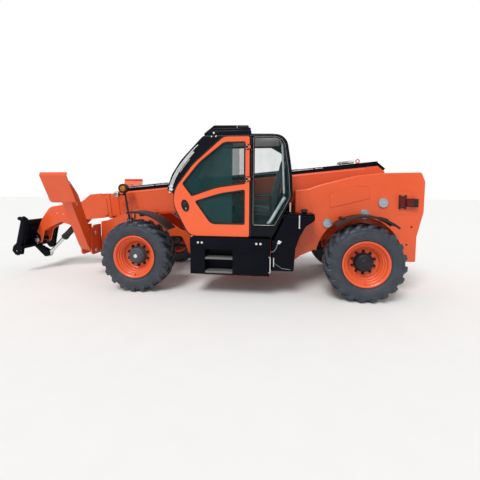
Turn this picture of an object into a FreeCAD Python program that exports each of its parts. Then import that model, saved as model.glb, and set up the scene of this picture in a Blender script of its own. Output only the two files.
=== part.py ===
import FreeCAD, Part
import math
import os
import re
from types import SimpleNamespace

V = FreeCAD.Vector
os.makedirs("parts", exist_ok=True)
doc = FreeCAD.newDocument("telehandler")

# Driving sizes in millimetres and degrees.
# A size called "ahead" is measured forwards from the rear axle, one called "height" up from the ground.
# Columns: name, value, what it is
SIZES = [
    ("origin_ahead", 2730, "the part's origin, on the ground under the middle of its box"),
    ("wheelbase", 3540, "rear axle to front axle"),
    ("room", "=wheelbase / 3540", "stretch of all that stands between the axles"),
    ("wheel_track", 2000, "between the middle planes of the left and right wheels"),
    ("tyre_od", 1160, "tyre over its lugs"),
    ("tyre_width", 400, "tyre over its shoulders"),
    ("lug_depth", 36, "tread lug above the tyre's carcass"),
    ("lug_width", 52, "tread lug across its bar"),
    ("lug_count", 20, "tread lugs on each half of a tyre"),
    ("rim_flange", 342, "radius of the rim's flange"),
    ("rim_bead", 308, "radius of the rim's bead seat"),
    ("rim_wall", 12, "thickness of the rim's steel"),
    ("rim_dish", 190, "wheel disc set in from the rim's outer edge"),
    ("disc_thick", 18, "wheel disc"),
    ("stud_circle", 335, "diameter of the circle of wheel studs"),
    ("stud_count", 10, "wheel studs"),
    ("nut_size", 18, "wheel nut across its corners, as a radius"),
    ("nut_height", 22, "wheel nut"),
    ("hub_radius", 128, "planetary hub"),
    ("hub_out", 118, "planetary hub beyond the wheel disc"),
    ("kingpin_in", 215, "kingpin axis, in from the wheel's middle plane"),
    ("kingpin_radius", 30, "kingpin"),
    ("knuckle_radius", 140, "steering knuckle round the axle line"),
    ("axle_radius", 85, "axle tube at its end"),
    ("diff_radius", 185, "axle's differential housing"),
    ("run_gap", 5, "space kept between moving pieces"),
    ("pin_gap", 0.05, "radial clearance of a pin in its bore"),
    ("seat_gap", 0.3, "clearance of a sliding or seated face"),
    ("frame_half", 300, "outer face of a chassis plate from the middle plane"),
    ("plate", 25, "thickness of a chassis plate"),
    ("frame_bottom", 400, "height of the chassis's underside"),
    ("frame_arch", 790, "height of the chassis's underside over an axle"),
    ("frame_deck", 890, "height of the chassis's top between the wheels"),
    ("frame_rear", 860, "chassis's end behind the rear axle"),
    ("tower_height", 1690, "height of the chassis's rear tower"),
    ("nose_ahead", 4640, "chassis's front end"),
    ("nose_height", 1270, "height of the chassis's nose over the front axle"),
    ("nose_lip", 1040, "height of the nose's front edge"),
    ("pod_out", 750, "outer face of a rear side body from the middle plane"),
    ("pod_front", 1005, "front of a rear side body ahead of the rear axle"),
    ("pod_rear", 945, "rear of a rear side body behind the rear axle"),
    ("pod_top", 1930, "height of a rear side body"),
    ("pod_shoulder", 1650, "height of a rear side body at its front"),
    ("pod_wall", 12, "rear side body's sheet"),
    ("pod_bottom", 540, "height of a rear side body's lower edge"),
    ("arch_radius", 662, "wheel arch in a rear side body"),
    ("boom_pivot_ahead", -340, "boom's pivot"),
    ("boom_pivot_height", 1460, "boom's pivot"),
    ("boom_pin_radius", 45, "boom's pivot pin"),
    ("boom_slope", 5.7, "boom's fall to the front when it is down, in degrees"),
    ("boom_length", 4720, "outer boom from its pivot to its front"),
    ("boom_tail", 250, "outer boom behind its pivot"),
    ("boom_under", 100, "underside of the outer boom over its pivot"),
    ("boom_width", 340, "outer boom"),
    ("boom_depth", 505, "outer boom"),
    ("boom_wall", 10, "boom's steel"),
    ("boom_nest", 25, "step from one boom section to the next on each side"),
    ("boom_collar", 60, "length of a boom section's front collar"),
    ("boom_radius", 45, "rounded long edges of the outer boom"),
    ("head_reach", 1330, "tilt pivot beyond the outer boom's front"),
    ("tilt_pivot_ahead", 6150, "carriage's pivot"),
    ("tilt_pivot_height", 620, "carriage's pivot"),
    ("tilt_base_ahead", 5300, "tilt cylinder's base pin"),
    ("tilt_base_height", 1000, "tilt cylinder's base pin"),
    ("tilt_eye_ahead", 6030, "tilt cylinder's rod eye"),
    ("tilt_eye_height", 300, "tilt cylinder's rod eye"),
    ("tilt_pin_radius", 30, "tilt cylinder's base pin"),
    ("carriage_pin_radius", 40, "carriage's pivot pin"),
    ("boom_swing", 64, "boom's lift from rest, in degrees"),
    ("carriage_swing", 115, "carriage's tilt forwards from rest, in degrees"),
    ("leg_swing", 86, "stabiliser leg's turn down from rest, in degrees"),
    ("boom_stroke", 3400, "travel of each inner boom section"),
    ("steer_angle", 30, "steering lock to each side, in degrees"),
    ("door_swing", 85, "door's opening, in degrees"),
    ("hinge_pin", 6, "radius of the door's hinge pins"),
    ("hinge_low", 1810, "height of the door's lower hinge"),
    ("hinge_high", 2280, "height of the door's upper hinge"),
    ("hinge_back", 5, "door's hinge line behind its edge"),
    ("hinge_out", 6, "door's hinge line outside its face"),
    ("hood_swing", 55, "engine hood's opening, in degrees"),
    ("hood_hinge_in", 44, "hood's hinge line from its inner side"),
    ("hood_hinge_down", 50, "hood's hinge line under its top"),
    ("neck_half", 130, "outer face of a gooseneck plate from the middle plane"),
    ("neck_plate", 20, "gooseneck plate"),
    ("carriage_lean", 15, "carriage leaning back at rest, in degrees"),
    ("carriage_half", 480, "carriage from the middle plane to its side"),
    ("carriage_up", 430, "carriage above its pivot"),
    ("carriage_down", 290, "carriage below its pivot"),
    ("carriage_plate", 25, "carriage's side plate"),
    ("hook_radius", 32, "carriage's hook for a tool's bar"),
    ("lock_radius", 20, "carriage's lock pin bore"),
    ("lift_base_ahead", 490, "lift cylinder's base pin"),
    ("lift_base_height", 1130, "lift cylinder's base pin"),
    ("lift_eye_ahead", 2150, "lift cylinder's rod eye"),
    ("lift_eye_height", 1220, "lift cylinder's rod eye"),
    ("level_base_ahead", -70, "levelling cylinder's base pin"),
    ("level_base_height", 1280, "levelling cylinder's base pin"),
    ("level_eye_ahead", 560, "levelling cylinder's rod eye"),
    ("level_eye_height", 1420, "levelling cylinder's rod eye"),
    ("cap_radius", 70, "pin cap on a rear side body"),
    ("cap_thick", 14, "pin cap on a rear side body"),
    ("leg_ahead", 4780, "middle plane of the stabiliser legs"),
    ("leg_pivot_side", 490, "stabiliser leg's pivot from the middle plane"),
    ("leg_pivot_height", 530, "stabiliser leg's pivot"),
    ("leg_rise", 64, "stabiliser leg above level when folded, in degrees"),
    ("leg_length", 1330, "stabiliser leg from pivot to pad pin"),
    ("leg_width", 170, "stabiliser leg across"),
    ("leg_depth", 190, "stabiliser leg's box"),
    ("leg_wall", 10, "stabiliser leg's steel"),
    ("pad_size", 460, "stabiliser pad"),
    ("pad_drop", 150, "stabiliser pad's face from its pin"),
    ("pad_plate", 12, "stabiliser pad"),
    ("leg_cylinder_side", 490, "stabiliser cylinder's base pin from the middle plane"),
    ("leg_cylinder_height", 850, "stabiliser cylinder's base pin"),
    ("leg_cylinder_reach", 960, "stabiliser cylinder's rod eye along the leg from its pivot"),
    ("leg_pin_radius", 25, "stabiliser's pins"),
    ("cab_in", 270, "cab's inner side from the middle plane"),
    ("cab_out", 1130, "cab's outer side from the middle plane"),
    ("cab_wall", 45, "cab's posts and walls"),
    ("cab_bottom", 925, "height of the cab's underside"),
    ("cab_rear", "=1060 * room", "rear of the cab"),
    ("cab_front", "=2990 * room", "front of the cab at its windscreen's foot"),
    ("cab_belt", 1670, "height of the windscreen's foot"),
    ("cab_top", 2475, "height of the cab under its roof"),
    ("roof_top", 2640, "height of the roof box"),
    ("roof_inset", 110, "roof box in from the cab's sides"),
    ("roof_box_rear", "=1720 * room", "rear of the roof box"),
    ("cab_nose", "=2905 * room", "front of the cab under its windscreen"),
    ("cab_toe", "=2667 * room", "front of the cab's floor"),
    ("cab_heel", "=1348 * room", "rear of the cab's floor"),
    ("glass", 6, "window glass"),
    ("pane_gap", 0.3, "pane inside its opening"),
    ("screen_margin", 15, "windscreen and rear window inside the cab's walls"),
    ("roof_thick", 45, "cab's roof panel"),
    ("door_thick", 40, "door"),
    ("door_rear", "=1705 * room", "door's hinge edge"),
    ("door_inset", 28, "door's edge inside the cab's outline"),
    ("door_frame", 62, "door's frame round its windows"),
    ("door_belt", 1560, "height of the door's middle rail"),
    ("step_front", "=2610 * room", "front of the step box"),
    ("step_rear", "=1395 * room", "rear of the step box"),
    ("step_top", 915, "height of the step box"),
    ("step_bottom", 355, "height of the step box's underside"),
    ("cab_mount", 55, "radius of the rubber mounts under the cab"),
    ("step_out", 1200, "step box from the middle plane"),
    ("step_in", 720, "step box's inner side from the middle plane"),
    ("tread_front", "=2380 * room", "front of the step recess"),
    ("tread_rear", "=1950 * room", "rear of the step recess"),
    ("tread_depth", 170, "step recess"),
    ("tank_front", "=1375 * room", "front of the tank"),
    ("tank_top", 1285, "height of the tank"),
    ("tank_bottom", 420, "height of the tank's underside"),
    ("tank_out", 1140, "tank from the middle plane"),
    ("hood_front", "=2700 * room", "front of the engine hood"),
    ("hood_rear", "=1030 * room", "rear of the engine hood"),
    ("hood_top", 1480, "height of the engine hood"),
    ("hood_split", 860, "height where the hood meets its tray"),
    ("hood_out", 1160, "engine hood from the middle plane"),
    ("hood_in", 330, "engine hood's inner side from the middle plane"),
    ("hood_wall", 20, "engine hood's moulding"),
    ("tray_bottom", 520, "height of the engine tray's underside"),
    ("fender_radius", 700, "fender's underside round the axle"),
    ("fender_thick", 6, "fender"),
    ("fender_width", 330, "fender"),
    ("fender_lip", 25, "fender's edge turned down"),
    ("fender_raise", 15, "front fender further from its axle than the rear one"),
    ("hub_back", 40, "hub's flange behind the wheel disc"),
    ("hub_flange", 215, "radius of the hub's flange"),
    ("hood_hinge_rear", "=1350 * room", "middle of the hood's rear hinge"),
    ("hood_hinge_front", "=2050 * room", "middle of the hood's front hinge"),
    ("hood_pin", 9, "radius of the hood's hinge pins"),
    ("louvre_count", 7, "air slots in the hood's side"),
    ("louvre_pitch", 42, "from one air slot to the next"),
    ("louvre_height", 16, "air slot"),
    ("louvre_length", 520, "air slot"),
    ("hitch_back", 895, "tow pin behind the rear axle"),
    ("hitch_height", 700, "tow jaw's middle"),
    ("hitch_radius", 16, "tow pin's bore"),
    ("hitch_gap", 80, "tow jaw's opening"),
    ("hitch_plate", 20, "tow jaw's plates"),
    ("body_round", 22, "rounded outer edge of a rear side body"),
    ("dash_half", 190, "dash from its middle to its side"),
    ("wheel_ring", 180, "radius of the steering wheel"),
    ("wheel_grip", 15, "radius of the steering wheel's rim"),
    ("column_length", 330, "steering column"),
    ("cab_round", 28, "rounded long edges of the cab"),
    ("tank_round", 30, "rounded outer edge of the tank"),
    ("hood_round", 60, "rounded outer edge of the engine hood"),
    ("rail_height", 85, "hose channel on the boom's top"),
    ("panel_raise", 6, "raised panel on a rear side body"),
]
sheet = doc.addObject("Spreadsheet::Sheet", "Sizes")
for row, (name, value, note) in enumerate(SIZES, 1):
    sheet.set(f"A{row}", name)
    sheet.set(f"B{row}", str(value))
    sheet.setAlias(f"B{row}", name)
    sheet.set(f"C{row}", note)
doc.recompute()
SIZE_NAMES = {name for name, value, note in SIZES}
v = SimpleNamespace(**{name: float(sheet.get(name)) for name in SIZE_NAMES})

NODES = {}
TURNS = {
    "X": FreeCAD.Rotation(V(0, 1, 0), 90),
    "Y": FreeCAD.Rotation(V(1, 0, 0), -90),
    "Z": FreeCAD.Rotation(),
}
# How a flat drawing of (across, up) is turned into a plane of the machine.
PAGES = {
    "XY": FreeCAD.Rotation(),
    "XZ": FreeCAD.Rotation(V(1, 0, 0), V(0, 0, 1), V(0, -1, 0), "XZY"),
    "YZ": FreeCAD.Rotation(V(0, 1, 0), V(0, 0, 1), V(1, 0, 0), "XYZ"),
}
NORMALS = {"XZ": V(0, 1, 0), "YZ": V(1, 0, 0), "XY": V(0, 0, 1)}


def rule(text):
    """Write a rule of size names as an expression that reads the sheet."""
    return re.sub(r"[a-z_]+", lambda word: "Sizes." + word[0] if word[0] in SIZE_NAMES else word[0], str(text))


def block(x, y, z):
    """A block from three pairs of rules, from and to."""
    thing = doc.addObject("Part::Box", "Block")
    for side, axis, (low, high) in (("Length", "x", x), ("Width", "y", y), ("Height", "z", z)):
        thing.setExpression(side, rule(f"({high}) - ({low})"))
        thing.setExpression("Placement.Base." + axis, rule(low))
    return thing


def rod(radius, start, length, along="Y"):
    """A round bar from a start point along an axis, all as rules."""
    thing = doc.addObject("Part::Cylinder", "Rod")
    thing.Placement = FreeCAD.Placement(V(), TURNS[along])
    thing.setExpression("Radius", rule(radius))
    thing.setExpression("Height", rule(length))
    for axis, text in zip("xyz", start):
        thing.setExpression("Placement.Base." + axis, rule(text))
    return thing


def cross_rod(radius, ahead, height, half):
    """A round bar across the machine, centred on its middle plane."""
    return rod(radius, (ahead, f"-({half})", height), f"2 * ({half})")


def curves(rows):
    """The lines and tangent arcs of a closed outline, from corners of (across, up, corner radius)."""
    starts = []
    ends = []
    arcs = []
    for before, corner, after in zip(rows[-1:] + rows[:-1], rows, rows[1:] + rows[:1]):
        here = V(corner[0], corner[1], 0)
        if not corner[2]:
            starts.append(here)
            ends.append(here)
            arcs.append(None)
            continue
        back = (V(before[0], before[1], 0) - here).normalize()
        on = (V(after[0], after[1], 0) - here).normalize()
        half_turn = back.getAngle(on) / 2
        reach = corner[2] / math.tan(half_turn)
        middle = (back + on).normalize() * (corner[2] / math.sin(half_turn) - corner[2])
        starts.append(here + back * reach)
        ends.append(here + on * reach)
        arcs.append(Part.Arc(starts[-1], here + middle, ends[-1]))
    loop = []
    for index, arc in enumerate(arcs):
        if arc:
            loop.append(arc)
        following = starts[(index + 1) % len(rows)]
        if ends[index].distanceToPoint(following) > 1e-6:
            loop.append(Part.LineSegment(ends[index], following))
    return loop


def wire(rows, plane):
    """A closed wire through rounded corners, in a plane of the machine."""
    flat = Part.Wire([curve.toShape() for curve in curves(rows)])
    flat.Placement = FreeCAD.Placement(V(), PAGES[plane])
    return flat


def shape(name, made):
    """A feature that holds a shape made with Part's own functions."""
    thing = doc.addObject("Part::Feature", name)
    thing.Shape = made
    return thing


def prism(rows, low, high, plane="XZ"):
    """An outline pushed from one level to another along its plane's normal."""
    return push(Part.Face(wire(rows, plane)), low, high, plane)


def push(face, low, high, plane="XZ"):
    thing = doc.addObject("Part::Extrusion", "Pad")
    thing.Base = shape("Outline", face)
    thing.DirMode = "Custom"
    thing.Dir = NORMALS[plane]
    thing.Solid = True
    thing.setExpression("LengthFwd", rule(f"({high}) - ({low})"))
    axis = {"XZ": "y", "YZ": "x", "XY": "z"}[plane]
    thing.setExpression("Placement.Base." + axis, rule(low))
    return thing


def lathe(rows, angle=360):
    """A profile of (along, radius, corner radius) turned about a line along Y."""
    thing = doc.addObject("Part::Revolution", "Turned")
    thing.Source = shape("Profile", Part.Face(wire([(r, along, corner) for along, r, corner in rows], "XY")))
    thing.Axis = V(0, 1, 0)
    thing.Base = V()
    thing.Angle = angle
    thing.Solid = True
    return thing


def soft(thing, radius, *levels):
    """Round the edges that lie in the planes named by axis and level."""
    doc.recompute()
    picked = []
    for index, edge in enumerate(thing.Shape.Edges, 1):
        box = edge.BoundBox
        for axis, level in levels:
            if max(abs(getattr(box, axis + "Min") - level), abs(getattr(box, axis + "Max") - level)) < 0.01:
                picked.append((index, radius, radius))
    rounded = doc.addObject("Part::Fillet", "Rounded")
    rounded.Base = thing
    rounded.Edges = picked
    return rounded


def sketch(body, role, rows, away="0"):
    """An outline drawn on one of a body's own planes, moved along the plane's normal by a rule."""
    page = body.newObject("Sketcher::SketchObject", "Outline")
    page.AttachmentSupport = (next(f for f in body.Origin.OriginFeatures if f.Role == role), [""])
    page.MapMode = "FlatFace"
    page.addGeometry(curves(rows), False)
    page.setExpression("AttachmentOffset.Base.z", rule(away))
    return page


def feature(body, kind, page, length=None, back=False):
    """Pad, pocket or turn a sketch in its body."""
    made = body.newObject("PartDesign::" + kind, kind)
    made.Profile = page
    if length:
        made.setExpression("Length", rule(length))
        made.Reversed = back
    else:
        made.ReferenceAxis = (page, ["V_Axis"])
        made.Angle = 360
    body.Tip = made
    return made


def ring_of(body, made, count):
    """Repeat a feature round the body's Y axis, as often as a size says."""
    ring = body.newObject("PartDesign::PolarPattern", "Ring")
    ring.Originals = [made]
    ring.Axis = (next(f for f in body.Origin.OriginFeatures if f.Role == "Y_Axis"), [""])
    ring.Angle = 360
    ring.setExpression("Occurrences", rule(count))
    body.Tip = ring
    return ring


def row_of(body, made, role, count, length):
    """Repeat a feature along one of the body's axes, over a length."""
    row = body.newObject("PartDesign::LinearPattern", "Row")
    row.Originals = [made]
    row.Direction = (next(f for f in body.Origin.OriginFeatures if f.Role == role), [""])
    row.setExpression("Length", rule(length))
    row.setExpression("Occurrences", rule(count))
    body.Tip = row
    return row


def fuse(*things):
    if len(things) == 1:
        return things[0]
    joined = doc.addObject("Part::MultiFuse", "Joined")
    joined.Shapes = list(things)
    return joined


def group(*things):
    """Pieces that don't touch, kept in one node."""
    set_of = doc.addObject("Part::Compound", "Group")
    set_of.Links = list(things)
    return set_of


def cut(base, *tools):
    rest = doc.addObject("Part::Cut", "Rest")
    rest.Base = base
    rest.Tool = fuse(*tools)
    return rest


def common(first, second):
    both = doc.addObject("Part::Common", "Shared")
    both.Base = first
    both.Tool = second
    return both


def mirror(thing):
    """The same piece on the other side of the middle plane."""
    other = doc.addObject("Part::Mirroring", "Mirrored")
    other.Source = thing
    other.Normal = V(0, 1, 0)
    return other


def both_sides(*things):
    return [piece for thing in things for piece in (thing, mirror(thing))]


def place(thing, x="0", y="0", z="0", turn=None, angle=0):
    """A copy of a thing moved by rules and turned about an axis."""
    held = doc.addObject("Part::Compound", "Placed")
    held.Links = [thing]
    if turn:
        held.Placement = FreeCAD.Placement(V(), FreeCAD.Rotation(turn, angle))
    for axis, text in zip("xyz", (x, y, z)):
        held.setExpression("Placement.Base." + axis, rule(text))
    return held


def held(thing, base, turn):
    """A piece put at a point and turned."""
    kept = doc.addObject("Part::Compound", "Held")
    kept.Links = [thing]
    kept.Placement = FreeCAD.Placement(base, turn)
    return kept


def node(label, thing):
    """Register a finished piece, with the part's origin under its middle."""
    held = place(thing, x="-origin_ahead")
    held.Label = label
    NODES[label] = held
    return held


def boom_place(thing):
    """Put a piece modelled level along the boom, from its pivot, at the boom's real slope."""
    return place(thing, "boom_pivot_ahead", "0", "boom_pivot_height", V(0, 1, 0), v.boom_slope)


def chassis():
    arch_foot = 500
    rows = [
        (-v.frame_rear, 620, 0),
        (-v.frame_rear, v.tower_height - 180, 60),
        (-v.frame_rear + 220, v.tower_height, 60),
        (-120, v.tower_height, 80),
        (470, 1360, 120),
        (960, v.frame_deck, 100),
        (v.wheelbase - arch_foot, v.frame_deck, 120),
        (v.wheelbase + 50, v.nose_height, 60),
        (v.wheelbase + 420, v.nose_height, 80),
        (v.nose_ahead - 130, v.nose_lip + 20, 40),
        (v.nose_ahead, v.nose_lip, 30),
        (v.nose_ahead, 460, 30),
        (v.nose_ahead - 420, 460, 60),
        (v.wheelbase + arch_foot - 60, v.frame_arch, 60),
        (v.wheelbase - arch_foot, v.frame_arch, 60),
        (v.wheelbase - arch_foot - 180, v.frame_bottom, 60),
        (arch_foot + 480, v.frame_bottom, 60),
        (arch_foot, v.frame_arch, 60),
        (-arch_foot, v.frame_arch, 60),
        (-arch_foot - 140, 620, 40),
    ]
    bores = [rod(f"{radius} + pin_gap", (ahead, "frame_half - plate - 1", height), "plate + 2")
             for ahead, height, radius in PINS]
    side = cut(prism(rows, "frame_half - plate", "frame_half"), *bores)
    inside = ("-(frame_half - plate)", "frame_half - plate")
    web = ("-plate / 2", "plate / 2")
    cross = [
        block(("-frame_rear", "-frame_rear + 140"), inside, ("620", "1180")),
        block(("1000", "wheelbase - 700"), inside, ("frame_bottom", "frame_bottom + 25")),
        block(("-170", "170"), inside, ("frame_arch", "frame_arch + 70")),
        block(("wheelbase - 170", "wheelbase + 170"), inside, ("frame_arch", "frame_arch + 70")),
        block(("1500", "1540"), inside, ("frame_bottom + 25", "frame_deck - 40")),
        block(("nose_ahead - 200", "nose_ahead"), inside, ("480", "800")),
        block(("-frame_rear + 139", "-169"), web, ("frame_arch", "frame_arch + 60")),
        block(("169", "1001"), web, ("frame_arch", "frame_arch + 60")),
        block(("1000", "1501"), web, ("frame_bottom + 24", "frame_arch + 60")),
        block(("1539", "wheelbase - 520"), web, ("frame_bottom + 24", "frame_arch + 60")),
        block(("wheelbase - 521", "wheelbase - 169"), web, ("frame_arch", "frame_arch + 60")),
        block(("wheelbase + 169", "nose_ahead - 199"), web, ("frame_arch", "frame_arch + 60")),
        *uprights(),
    ]
    jaw = [block(("-hitch_back - 35", "-frame_rear + 10"), ("-50", "50"), (low, f"{low} + hitch_plate"))
           for low in ("hitch_height + hitch_gap / 2", "hitch_height - hitch_gap / 2 - hitch_plate")]
    jaw = cut(fuse(*jaw), rod("hitch_radius", ("-hitch_back", "0", "hitch_height - hitch_gap"), "2 * hitch_gap", "Z"))
    across = [cross_rod(radius, ahead, height, "frame_half - 1") for ahead, height, radius in PINS]
    node("frame_plate_left", side)
    mirrored_node("frame_plate_right", "frame_plate_left")
    node("frame_cross", fuse(*cross, *across, jaw))
    node("front_beam", fuse(*front_beam()))


def uprights():
    """Webs that carry the pins between the plates."""
    inside = ("-(frame_half - plate)", "frame_half - plate")
    return [block(("-frame_rear", "-frame_rear + 20"), inside, ("1100", "tower_height - 220"))]


def front_beam():
    """The cross beam ahead of the chassis, with the brackets that carry the stabiliser legs."""
    bracket_rows = [(v.leg_pivot_side + 75, 440, 60),
                    (v.leg_pivot_side + 75, 640, 60), (v.leg_pivot_side + 55, 760, 60),
                    (v.leg_pivot_side + 55, 920, 50), (v.leg_pivot_side - 30, 990, 50), (260, 990, 20), (260, 440, 20)]
    gap = v.leg_width / 2 + 2
    walls = [prism(bracket_rows, f"{v.leg_ahead} - {gap} - 20", f"{v.leg_ahead} - {gap}", "YZ"),
             prism(bracket_rows, f"{v.leg_ahead} + {gap}", f"{v.leg_ahead} + {gap} + 20", "YZ")]
    pins_here = [rod("leg_pin_radius", (f"{v.leg_ahead - gap - 32}", f"{y}", f"{z}"), f"{2 * gap + 64}", "X")
                 for y, z in ((v.leg_pivot_side, v.leg_pivot_height), (v.leg_cylinder_side, v.leg_cylinder_height))]
    beam = block((f"nose_ahead", f"{v.leg_ahead + gap + 20}"), ("-260", "260"), ("460", "700"))
    return [beam, *both_sides(*walls, *pins_here)]


# Pins through both chassis plates: how far ahead, how high, radius.
PINS = [
    ("boom_pivot_ahead", "boom_pivot_height", "boom_pin_radius"),
    ("lift_base_ahead", "lift_base_height", "boom_pin_radius"),
    ("level_base_ahead", "level_base_height", "boom_pin_radius - 15"),
]


def side_bodies():
    front, rear = v.pod_front, -v.pod_rear
    rows = [
        (front, v.pod_bottom, 20),
        (front, v.pod_shoulder, 30),
        (790, v.pod_shoulder + 25, 200),
        (620, 1740, 200),
        (70, 1880, 300),
        (-280, v.pod_top - 10, 300),
        (rear + 60, v.pod_top, 40),
        (rear, 1790, 60),
        (rear, 1320, 200),
        (rear + 85, 940, 60),
        (rear + 85, v.pod_bottom, 20),
        (-600, v.pod_bottom, 0),
        (-400, v.tyre_od / 2, 0),
        (400, v.tyre_od / 2, 0),
        (680, 690, 0),
    ]
    arch = rod("arch_radius", ("0", "frame_half - 1", "tyre_od / 2"), "pod_out - frame_half + 10")
    caps = [rod("cap_radius", (ahead, "pod_out - 1", height), "cap_thick + 1") for ahead, height, radius in PINS]
    outline = Part.Face(wire(rows, "XZ"))
    hollow = cut(push(Part.Face(outline.OuterWire.makeOffset2D(-v.pod_wall)), "frame_half + pod_wall", "pod_out - pod_wall"),
                 rod("arch_radius + pod_wall", ("0", "frame_half - 1", "tyre_od / 2"), "pod_out"))
    skin = soft(push(outline, "frame_half", "pod_out"), v.body_round, ("Y", v.pod_out))
    panel_rows = [(465, 1600, 25), (65, 1712, 25), (-125, 1702, 25), (-140, 1530, 25), (455, 1375, 25)]
    panel = prism(panel_rows, "pod_out - 1", "pod_out + panel_raise")
    body = fuse(cut(skin, arch, hollow), panel, *caps)
    left = node("side_body_left", body)
    NODES["side_body_right"] = mirror(left)
    NODES["side_body_right"].Label = "side_body_right"


def mirrored_node(label, source):
    NODES[label] = mirror(NODES[source])
    NODES[label].Label = label


def turned_lug():
    """One tread lug: a bar laid across the tread and bent down over the shoulder."""
    outer = v.tyre_od / 2
    base = outer - v.lug_depth - 4
    half = v.tyre_width / 2
    sweep = math.radians(360 / v.lug_count)
    # Columns: across the tyre, outer radius, inner radius, turn round the tyre as a share of the pitch, width
    sections = [
        (-0.04 * half, outer, base, 0.0, v.lug_width * 0.85),
        (0.55 * half, outer - 3, base - 3, 0.42, v.lug_width),
        (0.86 * half, outer - 12, base - 16, 0.66, v.lug_width * 1.15),
        (0.99 * half, outer - 62, base - 72, 0.76, v.lug_width * 1.2),
    ]
    wires = []
    for across, top, foot, share, width in sections:
        angle = sweep * share
        corners = []
        for radius, lean in ((foot, 0.5), (top, 0.40)):
            for side in (-1, 1):
                turn = angle + side * width * lean / radius
                corners.append(V(radius * math.sin(turn), across, radius * math.cos(turn)))
        wires.append(Part.makePolygon([corners[0], corners[1], corners[3], corners[2], corners[0]]))
    return Part.makeLoft(wires, True, True)


def wheels():
    half = v.tyre_width / 2
    base = v.tyre_od / 2 - v.lug_depth
    bead = v.rim_bead + v.seat_gap
    carcass = lathe([
        (-half + 28, bead, 0), (-half + 18, bead + 40, 0), (-half + 2, 440, 40), (-half + 10, 512, 0),
        (-half + 42, base - 4, 0), (0, base, 0), (half - 42, base - 4, 0), (half - 10, 512, 0),
        (half - 2, 440, 40), (half - 18, bead + 40, 0), (half - 28, bead, 0),
    ])
    doc.recompute()
    lug = turned_lug()
    lugs = []
    pitch = 360 / v.lug_count
    other = lug.mirror(V(), V(0, 1, 0))
    for index in range(int(v.lug_count)):
        for bar, shift in ((lug, 0), (other, 0.5)):
            copy = bar.copy()
            copy.rotate(V(), V(0, 1, 0), (index + shift) * pitch)
            lugs.append(copy)
    tyre = carcass.Shape.fuse(lugs)
    dish = half - v.rim_dish
    flange, seat = v.rim_flange, v.rim_bead
    back = dish - v.disc_thick
    rim_rows = [
        (half - 15, flange, 0), (half - 3, flange, 0), (half - 3, flange - 12, 0), (half - 26, seat - 8, 0),
        (half - 78, seat - 16, 0), (half - 86, seat - 28, 0), (half - 124, seat - 34, 0), (half - 134, seat - 46, 0),
        (half - 168, seat - 52, 0), (dish, seat - 74, 0), (dish, 92, 0), (back, 92, 0),
        (back, seat - v.rim_wall, 0), (-half + 24, seat - v.rim_wall, 0), (-half + 3, flange - 12, 0),
        (-half + 3, flange, 0), (-half + 15, flange, 0), (-half + 28, seat, 0), (half - 28, seat, 0),
    ]
    out = dish + v.hub_out
    hub_rows = [
        (back - v.hub_back, 0, 0), (back - v.hub_back, v.hub_flange, 0), (back, v.hub_flange, 0),
        (back, 90, 0), (dish, 90, 0), (dish, v.hub_radius + 17, 0), (dish + 25, v.hub_radius + 17, 0),
        (dish + 40, v.hub_radius, 0), (out - 30, v.hub_radius - 6, 0), (out - 12, v.hub_radius - 22, 0),
        (out - 12, 60, 0), (out, 52, 0), (out, 0, 0),
    ]
    rim = doc.addObject("PartDesign::Body", "Rim")
    for rows in (rim_rows, hub_rows):
        feature(rim, "Revolution", sketch(rim, "XY_Plane", [(r, along, corner) for along, r, corner in rows]))
    corners = [math.radians(60 * k) for k in range(6)]
    nut_rows = [(v.stud_circle / 2 + v.nut_size * math.cos(turn), v.nut_size * math.sin(turn), 0) for turn in corners]
    nut = feature(rim, "Pad", sketch(rim, "XZ_Plane", nut_rows, f"-({dish - 1})"), f"{v.nut_height + 1}", True)
    ring_of(rim, nut, "stud_count")
    tyre_thing = shape("Tyre", tyre)
    for corner, axle in (("front", "wheelbase"), ("rear", "0")):
        for part_name, thing in (("tyre", tyre_thing), ("rim", rim)):
            label = f"{part_name}_{corner}_left"
            node(label, place(thing, axle, "wheel_track / 2", "tyre_od / 2"))
            mirrored_node(f"{part_name}_{corner}_right", label)


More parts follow.
